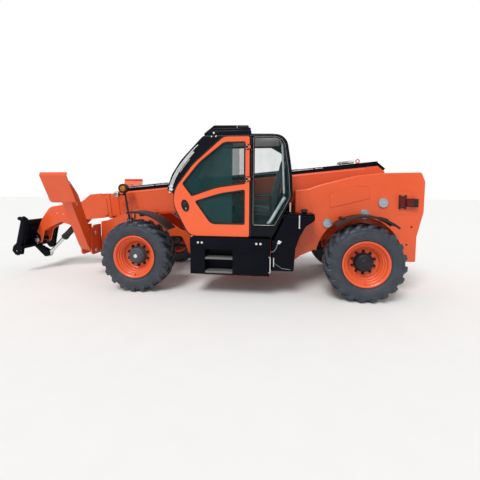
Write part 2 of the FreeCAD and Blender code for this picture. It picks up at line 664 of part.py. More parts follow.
def axles():
    centre = ("0", "0", "0")
    kingpin = "wheel_track / 2 - kingpin_in"
    reach = v.wheel_track / 2 - v.kingpin_in
    hub_face = v.wheel_track / 2 + v.tyre_width / 2 - v.rim_dish - v.disc_thick - v.hub_back - v.seat_gap
    housing = lathe([
        (-reach + 100, 0, 0), (-reach + 100, v.axle_radius, 0), (-330, v.axle_radius + 15, 60),
        (-170, v.diff_radius - 30, 60), (-70, v.diff_radius, 40), (70, v.diff_radius, 40),
        (170, v.diff_radius - 30, 60), (330, v.axle_radius + 15, 60), (reach - 100, v.axle_radius, 0),
        (reach - 100, 0, 0),
    ])
    seat = block(("-170", "170"), ("-(frame_half - plate)", "frame_half - plate"), ("60", "frame_arch - tyre_od / 2"))
    fork_in, fork_out = f"{kingpin} - 125", f"{kingpin} + 62"
    yoke = block(("-62", "62"), (fork_in, f"{kingpin} - 90"), ("-205", "205"))
    ears = [
        block(("-62", "62"), (f"{kingpin} - 92", fork_out), ("knuckle_radius + run_gap", "205")),
        block(("-62", "62"), (f"{kingpin} - 92", fork_out), ("-205", "-(knuckle_radius + run_gap)")),
    ]
    bore = rod("kingpin_radius + pin_gap", ("0", kingpin, "-210"), "420", "Z")
    end = cut(fuse(yoke, *ears), bore)
    ram = cross_rod("55", "-215", "30", "260")
    ram_rod = cross_rod("25", "-215", "30", "430")
    clamp = block(("-230", "-60"), ("-150", "-110"), ("-25", "85"))
    axle = fuse(housing, seat, ram, ram_rod, *both_sides(end, clamp))
    body = lathe([
        (reach - 55, 0, 0), (reach - 55, 50, 0), (reach - 20, v.knuckle_radius, 0), (reach + 120, v.knuckle_radius, 0),
        (reach + 120, v.knuckle_radius - 20, 0), (hub_face, v.knuckle_radius - 20, 0), (hub_face, 0, 0),
    ])
    trunnion = rod("kingpin_radius", ("0", kingpin, "-206"), "412", "Z")
    arm = block(("-190", "-90"), (f"{kingpin} - 35", f"{kingpin} + 5"), ("10", "50"))
    knuckle = fuse(body, trunnion, arm)
    for corner, ahead in (("front", "wheelbase"), ("rear", "0")):
        node(f"axle_{corner}", place(axle, ahead, "0", "tyre_od / 2"))
        node(f"knuckle_{corner}_left", place(knuckle, ahead, "0", "tyre_od / 2"))
        mirrored_node(f"knuckle_{corner}_right", f"knuckle_{corner}_left")


def boom_section(step, back, front, collar):
    """A hollow boom section, a number of steps inside the outer one, along the boom from its pivot."""
    half = v.boom_width / 2 - step * v.boom_nest
    low = v.boom_under + step * v.boom_nest
    high = v.boom_under + v.boom_depth - step * v.boom_nest
    radius = v.boom_radius - 8 * step
    wall = v.boom_wall
    outer = [(-half, low, radius), (-half, high, radius), (half, high, radius), (half, low, radius)]
    inner = [(-half + wall, low + wall, radius - wall), (-half + wall, high - wall, radius - wall),
             (half - wall, high - wall, radius - wall), (half - wall, low + wall, radius - wall)]
    tube = cut(prism(outer, f"{back}", f"{front}", "YZ"), prism(inner, f"{back - 1}", f"{front + 1}", "YZ"))
    if not collar:
        return tube
    grown = 14
    ring = [(-half - grown, low - grown, 20), (-half - grown, high + grown, 20),
            (half + grown, high + grown, 20), (half + grown, low - grown, 20)]
    band = cut(prism(ring, f"{front - v.boom_collar}", f"{front}", "YZ"),
               prism(inner, f"{front - v.boom_collar - 1}", f"{front + 1}", "YZ"))
    return fuse(tube, band)


def wear_pads(step, at):
    """Four pads inside a section's front that carry the next section."""
    half = v.boom_width / 2 - step * v.boom_nest - v.boom_wall
    low = v.boom_under + step * v.boom_nest + v.boom_wall
    high = v.boom_under + v.boom_depth - step * v.boom_nest - v.boom_wall
    thick = v.boom_nest - v.boom_wall - v.seat_gap
    x = (f"{at - 160}", f"{at - 20}")
    flat = half - 60
    return [
        block(x, (f"{-flat}", f"{flat}"), (f"{low}", f"{low + thick}")),
        block(x, (f"{-flat}", f"{flat}"), (f"{high - thick}", f"{high}")),
        block(x, (f"{half - thick}", f"{half}"), (f"{low + 70}", f"{high - 70}")),
        block(x, (f"{-half}", f"{-half + thick}"), (f"{low + 70}", f"{high - 70}")),
    ]


def boom():
    under, depth = v.boom_under, v.boom_depth
    tube = boom_section(0, -120, v.boom_length, True)
    foot = [
        (-140, under + depth, 0), (40, under + depth, 0), (560, under + 2, 0), (330, -60, 60), (110, -140, 60),
        (-110, -140, 100), (-v.boom_tail, -20, 80), (-v.boom_tail, under + depth - 110, 40),
    ]
    cheek = cut(prism(foot, "boom_width / 2 - 4", "boom_width / 2 + 18"),
                rod("boom_pin_radius + pin_gap", ("0", "0", "0"), "boom_width"))
    sleeve = cut(cross_rod("boom_pin_radius + 32", "0", "0", "boom_width / 2 - 4"),
                 cross_rod("boom_pin_radius + pin_gap", "0", "0", "boom_width"))
    tail = block(("-boom_tail + 30", "-boom_tail + 50"), ("-(boom_width / 2 - 4)", "boom_width / 2 - 4"),
                 ("60", "boom_under + boom_depth - 130"))
    lift_u, lift_w = along_boom(v.lift_eye_ahead, v.lift_eye_height)
    level_u, level_w = along_boom(v.level_eye_ahead, v.level_eye_height)
    lugs = []
    for u, w, gap, reach in ((lift_u, lift_w, 51, 85), (level_u, level_w, 36, 60)):
        ear = [(u - reach - 60, under + 3, 0), (u + reach + 60, under + 3, 0), (u + reach * 0.7, w - reach * 0.8, 40),
               (u - reach * 0.7, w - reach * 0.8, 40)]
        lugs += both_sides(prism(ear, f"{gap}", f"{gap + 30}"))
    node("boom_outer", boom_place(fuse(tube, tail, sleeve, *both_sides(cheek), *lugs, *wear_pads(0, v.boom_length))))
    middle_front = v.boom_length + 190
    middle = fuse(boom_section(1, 160, middle_front, True), *wear_pads(1, middle_front))
    node("boom_middle", boom_place(middle))
    inner_front = middle_front + 130
    inner = boom_section(2, 300, inner_front, False)
    node("boom_inner", boom_place(fuse(inner, *boom_head(inner_front))))


def along_boom(ahead, height):
    """A point of the machine, measured along the boom from its pivot."""
    slope = math.radians(v.boom_slope)
    dx, dz = ahead - v.boom_pivot_ahead, height - v.boom_pivot_height
    return dx * math.cos(slope) - dz * math.sin(slope), dx * math.sin(slope) + dz * math.cos(slope)


def boom_head(front):
    """The gooseneck: two plates that carry the boom's end down to the carriage."""
    tip_u, tip_w = along_boom(v.tilt_pivot_ahead, v.tilt_pivot_height)
    base_u, base_w = along_boom(v.tilt_base_ahead, v.tilt_base_height)
    half = v.boom_width / 2 - 2 * v.boom_nest
    low = v.boom_under + 2 * v.boom_nest
    high = v.boom_under + v.boom_depth - 2 * v.boom_nest
    rows = [
        (front - 100, low + 60, 20), (front - 100, high - 60, 20), (front - 20, high + 60, 30),
        (front + 230, high + 60, 60), (front + 420, high - 60, 120), (tip_u - 360, tip_w + 640, 200),
        (tip_u - 150, tip_w + 420, 160), (tip_u + 70, tip_w + 45, 70), (tip_u + 55, tip_w - 70, 60),
        (tip_u - 70, tip_w - 75, 60), (tip_u - 170, tip_w + 190, 120), (base_u + 330, base_w + 30, 120),
        (base_u + 70, base_w - 80, 50), (base_u - 70, base_w - 80, 50), (base_u - 200, low - 20, 40),
        (front - 20, low - 20, 20),
    ]
    plate = cut(prism(rows, "neck_half - neck_plate", "neck_half"),
                rod("carriage_pin_radius + pin_gap", (f"{tip_u}", "0", f"{tip_w}"), "boom_width"))
    inside = ("-(neck_half - neck_plate)", "neck_half - neck_plate")
    top = block((f"{front - 100}", f"{front + 240}"), inside, (f"{high - 40}", f"{high - 20}"))
    end = block((f"{front - 12}", f"{front + 12}"), ("-neck_half", "neck_half"), (f"{low + 30}", f"{high - 30}"))
    web = prism([(front + 240, high - 10, 0), (front + 420, high - 110, 60), (tip_u - 370, tip_w + 600, 150),
                 (tip_u - 180, tip_w + 400, 120), (tip_u - 90, tip_w + 170, 0), (tip_u - 110, tip_w + 170, 0),
                 (tip_u - 200, tip_w + 380, 100), (tip_u - 380, tip_w + 575, 150), (front + 410, high - 135, 60),
                 (front + 235, high - 40, 0)], *inside)
    pin = cross_rod("tilt_pin_radius", f"{base_u}", f"{base_w}", "neck_half")
    return [top, end, web, pin, *both_sides(plate)]


def ram(base, eye, other, tube, piston, pin):
    """A cylinder's barrel and rod, from its base pin to its rod's eye; other is its length at the far limit."""
    rest = base.distanceToPoint(eye)
    closed = min(rest, other)
    slack = rest - closed
    boss = tube * 0.95
    blind = boss + 30
    mouth = closed - boss - 70
    half = tube * 0.55
    barrel = fuse(rod(f"{tube}", (f"{blind - 20}", "0", "0"), f"{mouth - blind + 20}", "X"),
                  rod(f"{tube * 1.12}", (f"{mouth - 60}", "0", "0"), "60", "X"),
                  cross_rod(f"{boss}", "0", "0", f"{half}"), block(("0", f"{blind}"), (f"{-half}", f"{half}"),
                                                                  (f"{-boss * 0.8}", f"{boss * 0.8}")))
    barrel = cut(barrel, rod(f"{piston} + pin_gap", (f"{blind}", "0", "0"), f"{closed}", "X"),
                 cross_rod(f"{pin} + pin_gap", "0", "0", f"{half + 1}"))
    stem = fuse(rod(f"{piston}", (f"{blind + 20 + slack}", "0", "0"), f"{closed - blind - 20}", "X"),
                cross_rod(f"{boss}", f"{rest}", "0", f"{half}"))
    stem = cut(stem, cross_rod(f"{boss * 0.55}", f"{rest}", "0", f"{half + 1}"))
    line = (eye - base).normalize()
    turn = FreeCAD.Rotation(V(1, 0, 0), line)
    return held(barrel, base, turn), held(stem, base, turn)


def turned(point, centre, axis, angle):
    """A point after a turn about a line."""
    return centre + FreeCAD.Rotation(axis, angle).multVec(point - centre)


def rams():
    """The boom's, carriage's and levelling cylinders, each as long as its pins are apart at both limits."""
    up = V(0, -1, 0)
    pivot = V(v.boom_pivot_ahead, 0, v.boom_pivot_height)
    tilt = V(v.tilt_pivot_ahead, 0, v.tilt_pivot_height)
    # Columns: name, base pin, rod eye, what the eye turns about, which way, how far, barrel, rod, base pin radius
    rows = [
        ("lift", V(v.lift_base_ahead, 0, v.lift_base_height), V(v.lift_eye_ahead, 0, v.lift_eye_height),
         pivot, up, v.boom_swing, 92, 50, v.boom_pin_radius),
        ("level", V(v.level_base_ahead, 0, v.level_base_height), V(v.level_eye_ahead, 0, v.level_eye_height),
         pivot, up, v.boom_swing, 48, 25, v.boom_pin_radius - 15),
        ("tilt", V(v.tilt_base_ahead, 0, v.tilt_base_height), V(v.tilt_eye_ahead, 0, v.tilt_eye_height),
         tilt, -up, v.carriage_swing, 62, 35, v.tilt_pin_radius),
    ]
    for name, base, eye, centre, way, swing, tube, piston, pin in rows:
        other = base.distanceToPoint(turned(eye, centre, way, swing))
        barrel, stem = ram(base, eye, other, tube, piston, pin)
        node(f"{name}_barrel", barrel)
        node(f"{name}_rod", stem)


def carriage():
    """The quick-attach carriage, drawn upright about its pivot and leant back."""
    lean = FreeCAD.Rotation(V(0, -1, 0), v.carriage_lean)
    eye = lean.inverted().multVec(V(v.tilt_eye_ahead - v.tilt_pivot_ahead, 0, v.tilt_eye_height - v.tilt_pivot_height))
    up, down = v.carriage_up, -v.carriage_down
    side = [
        (70, up - 90, 30), (95, up + 10, 30), (190, up + 40, 30), (235, up, 20), (215, up - 35, 0), (150, up - 35, 20),
        (150, -60, 0), (205, down + 150, 20), (205, down + 60, 30), (120, down, 30), (40, down, 30), (60, -60, 100),
    ]
    plate = cut(prism(side, "carriage_half - carriage_plate", "carriage_half"),
                rod("lock_radius", ("120", "0", f"{down + 80}"), "carriage_half + 1"))
    inner = cut(prism(side, "carriage_half - 110", "carriage_half - 110 + carriage_plate"),
                rod("lock_radius", ("120", "0", f"{down + 80}"), "carriage_half + 1"))
    tubes = [
        cross_rod("45", "105", f"{up - 60}", "carriage_half - 5"),
        block(("60", "150"), ("-(carriage_half - 5)", "carriage_half - 5"), (f"{down + 120}", f"{down + 180}")),
        block(("128", "150"), ("-(carriage_half - 110)", "carriage_half - 110"), (f"{down + 180}", f"{up - 60}")),
    ]
    ear = [(-70, 0, 69), (-30, 90, 60), (150, 190, 0), (150, -150, 0), (-30, -75, 60)]
    cheek = prism(ear, "neck_half + 1", "neck_half + 31")
    lug_rows = [(eye.x - 62, eye.z - 20, 50), (eye.x - 30, eye.z + 62, 40), (150, eye.z + 150, 0), (150, down + 120, 0),
                (eye.x + 30, eye.z - 62, 40)]
    lug = prism(lug_rows, f"{62 * 0.55 + 2}", f"{62 * 0.55 + 24}")
    pin = cross_rod("carriage_pin_radius", "0", "0", "neck_half + 31")
    made = fuse(*both_sides(plate, inner, cheek, lug), *tubes, pin)
    node("carriage", held(made, V(v.tilt_pivot_ahead, 0, v.tilt_pivot_height), lean))


def stabilisers():
    """The folded legs at the nose, drawn on the left side in the plane across the machine."""
    pivot = V(v.leg_ahead, v.leg_pivot_side, v.leg_pivot_height)
    rise = FreeCAD.Rotation(V(1, 0, 0), v.leg_rise)
    half = v.leg_width / 2
    # A leg lies along Y before it is raised; its open side is up and inboard.
    length = v.leg_length
    box = [(-60, -55, 40), (-60, 60, 50), (60, 95, 60), (length - 240, v.leg_depth - 70, 60), (length + 55, 40, 40),
           (length + 55, -50, 40), (length - 160, -95, 60), (160, -95, 60)]
    outer = prism(box, f"{-half}", f"{half}", "YZ")
    hollow = prism([(-200, -55, 0), (120, -80, 0), (length - 70, -80, 0), (length - 70, 400, 0), (-200, 400, 0)],
                   "-(leg_width / 2 - leg_wall)", "leg_width / 2 - leg_wall", "YZ")
    eye_pin = rod("leg_pin_radius", (f"{-half}", f"{v.leg_cylinder_reach}", "10"), "leg_wall + 8", "X")
    eye_pin_two = rod("leg_pin_radius", (f"{half} - leg_wall - 8", f"{v.leg_cylinder_reach}", "10"), "leg_wall + 8", "X")
    leg = cut(fuse(cut(outer, hollow), eye_pin, eye_pin_two),
              rod("leg_pin_radius + pin_gap", (f"{-half - 1}", "0", "0"), "leg_width + 2", "X"),
              rod("leg_pin_radius - 5 + pin_gap", (f"{-half - 1}", f"{length}", "0"), "leg_width + 2", "X"))
    pad_half = v.pad_size / 2
    plate = prism([(-pad_half, 0, 0), (-pad_half, 0 - v.pad_plate, 0), (pad_half, -v.pad_plate, 0), (pad_half, 0, 0)],
                  f"{-pad_half}", f"{pad_half}", "YZ")
    drop = v.pad_drop
    lips = [prism([(s * pad_half, -v.pad_plate, 0), (s * (pad_half + 40), 35 - v.pad_plate, 0),
                   (s * (pad_half + 32), 44 - v.pad_plate, 0), (s * (pad_half - 4), 0, 0)],
                  f"{-pad_half}", f"{pad_half}", "YZ") for s in (-1, 1)]
    lug = prism([(-70, 0, 0), (-30, drop + 25, 25), (30, drop + 25, 25), (70, 0, 0)],
                "leg_width / 2 + 2", "leg_width / 2 + 17", "YZ")
    other = prism([(-70, 0, 0), (-30, drop + 25, 25), (30, drop + 25, 25), (70, 0, 0)],
                  "-(leg_width / 2 + 17)", "-(leg_width / 2 + 2)", "YZ")
    pin = rod("leg_pin_radius - 5", ("-(leg_width / 2 + 17)", "0", f"{drop}"), "leg_width + 34", "X")
    pad = fuse(plate, *lips, lug, other, pin)
    # The pad hangs from its pin with its underside outboard, turned with the leg.
    pad_turn = FreeCAD.Rotation(V(1, 0, 0), v.leg_rise)
    foot = pivot + rise.multVec(V(0, length, 0))
    held_leg = held(leg, pivot, rise)
    held_pad = held(pad, foot - pad_turn.multVec(V(0, 0, drop)), pad_turn)
    eye = pivot + rise.multVec(V(0, v.leg_cylinder_reach, 10))
    base = V(v.leg_ahead, v.leg_cylinder_side, v.leg_cylinder_height)
    low_eye = turned(eye, pivot, V(-1, 0, 0), v.leg_swing)
    barrel, stem = leg_ram(base, eye, base.distanceToPoint(low_eye))
    for name, thing in (("leg", held_leg), ("pad", held_pad), ("leg_barrel", barrel), ("leg_rod", stem)):
        node(f"stabiliser_{name}_left", thing)
        mirrored_node(f"stabiliser_{name}_right", f"stabiliser_{name}_left")


def leg_ram(base, eye, other):
    barrel, stem = ram(V(), V(base.distanceToPoint(eye), 0, 0), other, 42, 25, v.leg_pin_radius)
    line = eye - base
    angle = math.degrees(math.atan2(line.z, line.y))
    turn = FreeCAD.Rotation(V(1, 0, 0), angle) * FreeCAD.Rotation(V(0, 0, 1), 90)
    return held(barrel, base, turn), held(stem, base, turn)


def cab_outline():
    """The cab from the side: a round back, a curved screen, and a lower front that follows the door."""
    return [
        (v.cab_heel, v.cab_bottom, 130), (v.cab_rear - 2, 1560, 120), (v.cab_rear + 20, 1950, 2500),
        (v.cab_rear + 105, v.cab_top, 200), (v.cab_front - 575, v.cab_top, 120), (v.cab_front - 220, 2110, 900),
        (v.cab_front - 65, 1880, 400), (v.cab_front + 15, v.cab_belt - 30, 30), (v.cab_nose, v.cab_belt - 75, 30),
        (v.cab_nose, 1388, 390), (v.cab_toe, v.cab_bottom, 190),
    ]


def inset(rows, by, plane="XZ"):
    """The outline drawn in by a distance all round."""
    return wire(rows, plane).makeOffset2D(-by)


def cab():
    rows = cab_outline()
    outer = soft(prism(rows, "cab_in", "cab_out"), v.cab_round, ("Y", v.cab_in), ("Y", v.cab_out))
    inner = push(Part.Face(inset(rows, v.cab_wall)), "cab_in + cab_wall", "cab_out - cab_wall")
    door_rows = door_outline()
    doorway = push(Part.Face(inset(door_rows, 25)), "cab_out - cab_wall - 10", "cab_out + 10")
    quarter = prism(quarter_rows(), "cab_out - cab_wall - 10", "cab_out + 10")
    right = prism(right_rows(), "cab_in - 10", "cab_in + cab_wall + 10")
    margin = "cab_wall + screen_margin"
    screen = prism(screen_rows(), f"cab_in + {margin}", f"cab_out - ({margin})")
    rear = prism(rear_rows(), f"cab_in + {margin}", f"cab_out - ({margin})")
    shell = cut(outer, inner, doorway, quarter, right, screen, rear)
    node("cab_shell", fuse(shell, *door_pins()))
    roof_rows = [
        (v.cab_rear + 290, v.cab_top, 0), (v.cab_rear + 290, v.cab_top + 22, 10), (v.roof_box_rear, v.cab_top + 30, 10),
        (v.roof_box_rear + 20, v.roof_top - 10, 20), (v.cab_front - 720, v.roof_top, 40),
        (v.cab_front - 545, v.cab_top + 30, 20), (v.cab_front - 600, v.cab_top, 0),
    ]
    roof_in, roof_out = v.cab_in + v.roof_inset, v.cab_out - v.roof_inset
    node("cab_roof", soft(prism(roof_rows, f"{roof_in}", f"{roof_out}"), 9, ("Y", roof_in), ("Y", roof_out)))


def hinge_line():
    return v.door_rear - v.hinge_back, v.cab_out + v.door_thick + v.hinge_out


def door_pins():
    """The cab's halves of the door's hinges: a pin held in two brackets."""
    ahead, side = hinge_line()
    made = []
    for level in ("hinge_low", "hinge_high"):
        made.append(rod("hinge_pin", (f"{ahead}", f"{side}", f"{level} - 35"), "70", "Z"))
        for low, high in ((-35, -22), (22, 35)):
            made.append(block((f"{ahead} - 38", f"{ahead}"), ("cab_out - 2", f"{side} + hinge_pin"),
                              (f"{level} + {low}", f"{level} + {high}")))
    return made


def door_sleeves():
    """The door's halves of its hinges."""
    ahead, side = hinge_line()
    made = []
    for level in ("hinge_low", "hinge_high"):
        low = f"{level} - 21.5"
        made.append(fuse(rod("hinge_pin + 6", (f"{ahead}", f"{side}", low), "43", "Z"),
                         block((f"{ahead}", f"{ahead} + 30"), (f"{side} - 8", f"{side}"), (low, f"{level} + 21.5"))))
    bores = [rod("hinge_pin + pin_gap", (f"{ahead}", f"{side}", f"{level} - 40"), "80", "Z")
             for level in ("hinge_low", "hinge_high")]
    return made, bores


def between_axles(rows):
    """Rows drawn for the real machine, which move with its wheelbase."""
    return [(x * v.room, z, radius) for x, z, radius in rows]


def door_outline():
    return between_axles([(1705, 943, 25), (1705, 2437, 25), (2090, 2437, 160), (2560, 2035, 900), (2944, 1546, 390),
                          (2629, 943, 190)])


def quarter_rows():
    return between_axles([(1330, 1130, 25), (1112, 1545, 40), (1138, 1930, 2500), (1215, 2425, 150),
                          (1640, 2425, 20), (1640, 1130, 20)])


def screen_rows():
    """What the windscreen takes out of the cab's front, seen from the side."""
    return [(v.cab_front - 430, 1700, 0), (v.cab_front + 300, 1700, 0), (v.cab_front + 300, v.cab_top + 200, 0),
            (v.cab_front - 550, v.cab_top + 200, 0), (v.cab_front - 690, v.cab_top - 35, 0)]


def rear_rows():
    return [(v.cab_rear - 160, 1640, 0), (v.cab_rear - 160, 2250, 0), (v.cab_rear + 240, 2250, 0),
            (v.cab_rear + 240, 1640, 0)]


def right_rows():
    return between_axles([(1400, 1300, 60), (1150, 1700, 60), (1210, 2290, 60), (1400, 2400, 60), (2280, 2400, 60),
                          (2560, 2180, 200), (2820, 1760, 60), (2700, 1500, 60), (2500, 1400, 60)])


def door():
    rows = door_outline()
    leaf = push(Part.Face(wire(rows, "XZ")), "cab_out + seat_gap", "cab_out + seat_gap + door_thick")
    upper = between_axles([(1770, 1742, 20), (1770, 2360, 20), (2085, 2360, 140), (2470, 2062, 700),
                           (2735, 1742, 25), (2590, 1552, 25), (2200, 1685, 900)])
    lower = between_axles([(1775, 1130, 20), (1775, 1652, 20), (2150, 1595, 1200), (2540, 1475, 25),
                           (2290, 1130, 130)])
    frame = cut(leaf, *[prism(r, "cab_out", "cab_out + 60") for r in (upper, lower)])
    sleeves, bores = door_sleeves()
    node("door", cut(fuse(frame, *sleeves), *bores))
    panes = []
    for r in (upper, lower):
        panes.append(push(Part.Face(inset(r, v.seat_gap)), "cab_out + 18", "cab_out + 18 + glass"))
    node("door_glass", group(*panes))


def glazing():
    """The fixed panes: curved windscreen, rear window and side windows."""
    rows = cab_outline()
    margin = "cab_wall + screen_margin + pane_gap"
    ring = cut(push(Part.Face(inset(rows, 8)), f"cab_in + {margin}", f"cab_out - ({margin})"),
               push(Part.Face(inset(rows, 8 + v.glass)), "cab_in + cab_wall", "cab_out - cab_wall"))
    front, back = [common(ring, push(Part.Face(inset(opening, v.pane_gap)), "cab_in", "cab_out"))
                   for opening in (screen_rows(), rear_rows())]
    quarter = push(Part.Face(inset(quarter_rows(), v.seat_gap)), "cab_out - 14", "cab_out - 14 + glass")
    right = push(Part.Face(inset(right_rows(), v.seat_gap)), "cab_in + 14 - glass", "cab_in + 14")
    node("cab_glass", group(front, back, quarter, right))


def seat():
    centre = "(cab_in + cab_out) / 2"
    rear = v.cab_rear + 125
    base = fuse(block((f"{rear + 262}", f"{rear + 515}"), (f"{centre} - 170", f"{centre} + 170"), ("cab_bottom + cab_wall", "1230")),
                block((f"{rear + 165}", f"{rear + 575}"), (f"{centre} - 210", f"{centre} + 210"), ("1230", "1262 - seat_gap")))
    node("seat_base", base)
    cushion = prism([(rear + 175, 1262, 30), (rear + 145, 1380, 50), (rear + 295, 1372, 60), (rear + 615, 1395, 50),
                     (rear + 665, 1330, 50), (rear + 615, 1262, 30)], f"{centre} - 230", f"{centre} + 230")
    back = prism([(rear + 160, 1330, 20), (rear + 15, 1780, 40), (rear, 1990, 30), (rear + 85, 1990, 40),
                  (rear + 115, 1800, 40), (rear + 265, 1350, 20)], f"{centre} - 215", f"{centre} + 215")
    node("seat", fuse(cushion, back))


def console():
    """The dash on the cab's floor with the steering column and wheel."""
    middle = (v.cab_in + v.cab_out) / 2
    floor = v.cab_bottom + v.cab_wall + v.seat_gap
    screen = v.cab_front
    dash = prism([(screen - 575, floor, 0), (screen - 420, floor + 84, 0), (screen - 175, 1540, 40),
                  (screen - 160, 1640, 30), (screen - 370, 1660, 40), (screen - 490, 1560, 60),
                  (screen - 610, floor, 0)], f"{middle - v.dash_half}", f"{middle + v.dash_half}")
    ring = doc.addObject("Part::Torus", "Ring")
    ring.setExpression("Radius1", rule("wheel_ring"))
    ring.setExpression("Radius2", rule("wheel_grip"))
    ring.setExpression("Placement.Base.z", rule("column_length"))
    across = ("-wheel_ring + 2", "wheel_ring - 2")
    level = ("column_length - 12", "column_length")
    spokes = [block(across, ("-14", "14"), level), block(("-14", "14"), ("-wheel_ring + 2", "0"), level)]
    wheel = fuse(rod("32", ("0", "0", "-60"), "column_length + 55", "Z"), rod("55", ("0", "0", "column_length - 30"), "40", "Z"),
                 ring, *spokes)
    column = place(wheel, "cab_front - 430", f"{middle}", "1500", V(0, 1, 0), -40)
    node("dash", fuse(dash, column))


def steps():
    side = ("step_in", "step_out")
    body = block(("step_rear", "step_front"), side, ("step_bottom", "step_top"))
    recess = block(("tread_rear", "tread_front"), ("step_out - tread_depth", "step_out + 1"), ("step_bottom - 1", "step_top - 170"))
    treads = [block(("tread_rear", "tread_front"), ("step_out - tread_depth", "step_out - 8"), (f"{z}", f"{z + 25}"))
              for z in (v.step_bottom + 22, v.step_bottom + 235)]
    shelf = block(("step_rear + 200", "step_front - 300"), ("frame_half", "step_in"), ("step_top - 180", "step_top - 60"))
    mounts = [rod("cab_mount", (x, y, "step_top - 1"), "cab_bottom - seat_gap - step_top + 1", "Z")
              for x in ("step_rear + 220", "step_front - 300") for y in ("step_in + 80", "step_out - 150")]
    node("step_box", fuse(cut(body, recess), *treads, shelf, *mounts))


def tank():
    rows = between_axles([(1375, v.tank_bottom, 30), (1375, 880, 20), (1335, 895, 20), (1160, v.tank_top, 20),
                          (730, v.tank_top, 30), (730, 1200, 40), (860, 1110, 60), (950, 950, 200),
                          (1010, 760, 200), (1030, v.tank_bottom, 30)])
    body = soft(prism(rows, "pod_out + 6", "tank_out"), v.tank_round, ("Y", v.tank_out))
    filler = rod("38", ("880 * room", "(pod_out + tank_out) / 2 + 60", "tank_top - 1"), "34", "Z")
    ledge = block(("1040 * room", "tank_front - 60"), ("frame_half", "pod_out + 7"), ("560", "640"))
    node("tank", fuse(body, filler, ledge))


def hood_rows(by):
    """The hood's side outline, drawn in by a distance at its top and ends."""
    rear, front, top = v.hood_rear + by, v.hood_front - by, v.hood_top - by
    foot = v.hood_split + 6
    return [(rear, foot, 0), (rear, top - 60, 80), (rear + 160, top, 120), (front - 420, top - 6, 300),
            (front, top - 260, 140), (front, foot, 0)]


def engine_side():
    """The engine's tray, block and hood on the right side, the hood hinged along its inner top edge."""
    tray = prism([(v.hood_rear, v.tray_bottom + 60, 60), (v.hood_rear, v.hood_split, 0), (v.hood_front, v.hood_split, 0),
                  (v.hood_front, v.tray_bottom + 120, 120), (v.hood_front - 260, v.tray_bottom, 60),
                  (v.hood_rear + 60, v.tray_bottom, 60)], "-hood_out", "-frame_half")
    hollow = block(("hood_rear + hood_wall", "hood_front - hood_wall"), ("-hood_out + hood_wall", "-hood_in - hood_wall"),
                   ("tray_bottom + hood_wall", "hood_split + 1"))
    # The fire wall ends under the hinge line, so that the hood's edge turns clear of it.
    wall_top = v.hood_top - v.hood_hinge_down - 12
    inset_by = v.hood_wall + v.run_gap
    wall = prism([(v.hood_rear + inset_by, v.hood_split, 0), (v.hood_rear + inset_by, wall_top - 60, 0),
                  (v.hood_rear + inset_by + 60, wall_top, 0), (v.hood_front - 420, wall_top, 0),
                  (v.hood_front - inset_by, v.hood_top - 300, 0), (v.hood_front - inset_by, v.hood_split, 0)],
                 "-hood_in - hood_wall", "-hood_in")
    side, height = "-hood_in - hood_hinge_in", "hood_top - hood_hinge_down"
    brackets = []
    sleeves = []
    for middle in ("hood_hinge_rear", "hood_hinge_front"):
        brackets.append(rod("hood_pin", (f"{middle} - 60", side, height), "120", "X"))
        for near, far in ((-60, -45), (45, 60)):
            along = (f"{middle} + {near}", f"{middle} + {far}")
            brackets.append(block(along, (f"{side} - hood_pin", f"{side} + 16"), (f"{height} - 90", f"{height} + 5")))
            brackets.append(block(along, (f"{side} + 15", f"{side} + 30"), (f"{height} - 90", f"{height} - 20")))
        sleeve = fuse(rod("hood_pin + 7", (f"{middle} - 40", side, height), "80", "X"),
                      block((f"{middle} - 40", f"{middle} + 40"), (f"{side} - hood_pin - 7", side),
                            (height, "hood_top - hood_wall + 1")))
        sleeves.append(cut(sleeve, rod("hood_pin + pin_gap", (f"{middle} - 41", side, height), "82", "X")))
    node("engine_tray", fuse(cut(tray, hollow), wall, *brackets))
    node("engine", block(("hood_rear + 250", "hood_front - 500"), ("-hood_out + 150", "-hood_in - 90"),
                         ("tray_bottom + hood_wall", "hood_top - 130")))
    edge = "-hood_in - hood_hinge_in + 14"
    outer = soft(prism(hood_rows(0), "-hood_out", edge), v.hood_round, ("Y", -v.hood_out))
    inner_rows = [(x, z - 20 if z < v.hood_split + 7 else z, r) for x, z, r in hood_rows(v.hood_wall)]
    inner = soft(prism(inner_rows, "-hood_out + hood_wall", f"{edge} + 1"), v.hood_round - v.hood_wall,
                 ("Y", -v.hood_out + v.hood_wall))
    skirt = block(("hood_rear", "hood_front"), ("-hood_out", "-hood_out + hood_wall"),
                  ("hood_split + seat_gap", "hood_split + 7"))
    slots = doc.addObject("PartDesign::Body", "Slots")
    low = v.hood_split + 130
    slot_rows = [(v.hood_rear + 240, low, 7), (v.hood_rear + 240 + v.louvre_length, low, 7),
                 (v.hood_rear + 240 + v.louvre_length, low + v.louvre_height, 7),
                 (v.hood_rear + 240, low + v.louvre_height, 7)]
    slot = feature(slots, "Pad", sketch(slots, "XZ_Plane", slot_rows, "hood_out - hood_wall - 2"), "hood_wall + 4")
    row_of(slots, slot, "Z_Axis", "louvre_count", "louvre_pitch * (louvre_count - 1)")
    node("engine_hood", fuse(cut(outer, inner, slots), skirt, *sleeves))


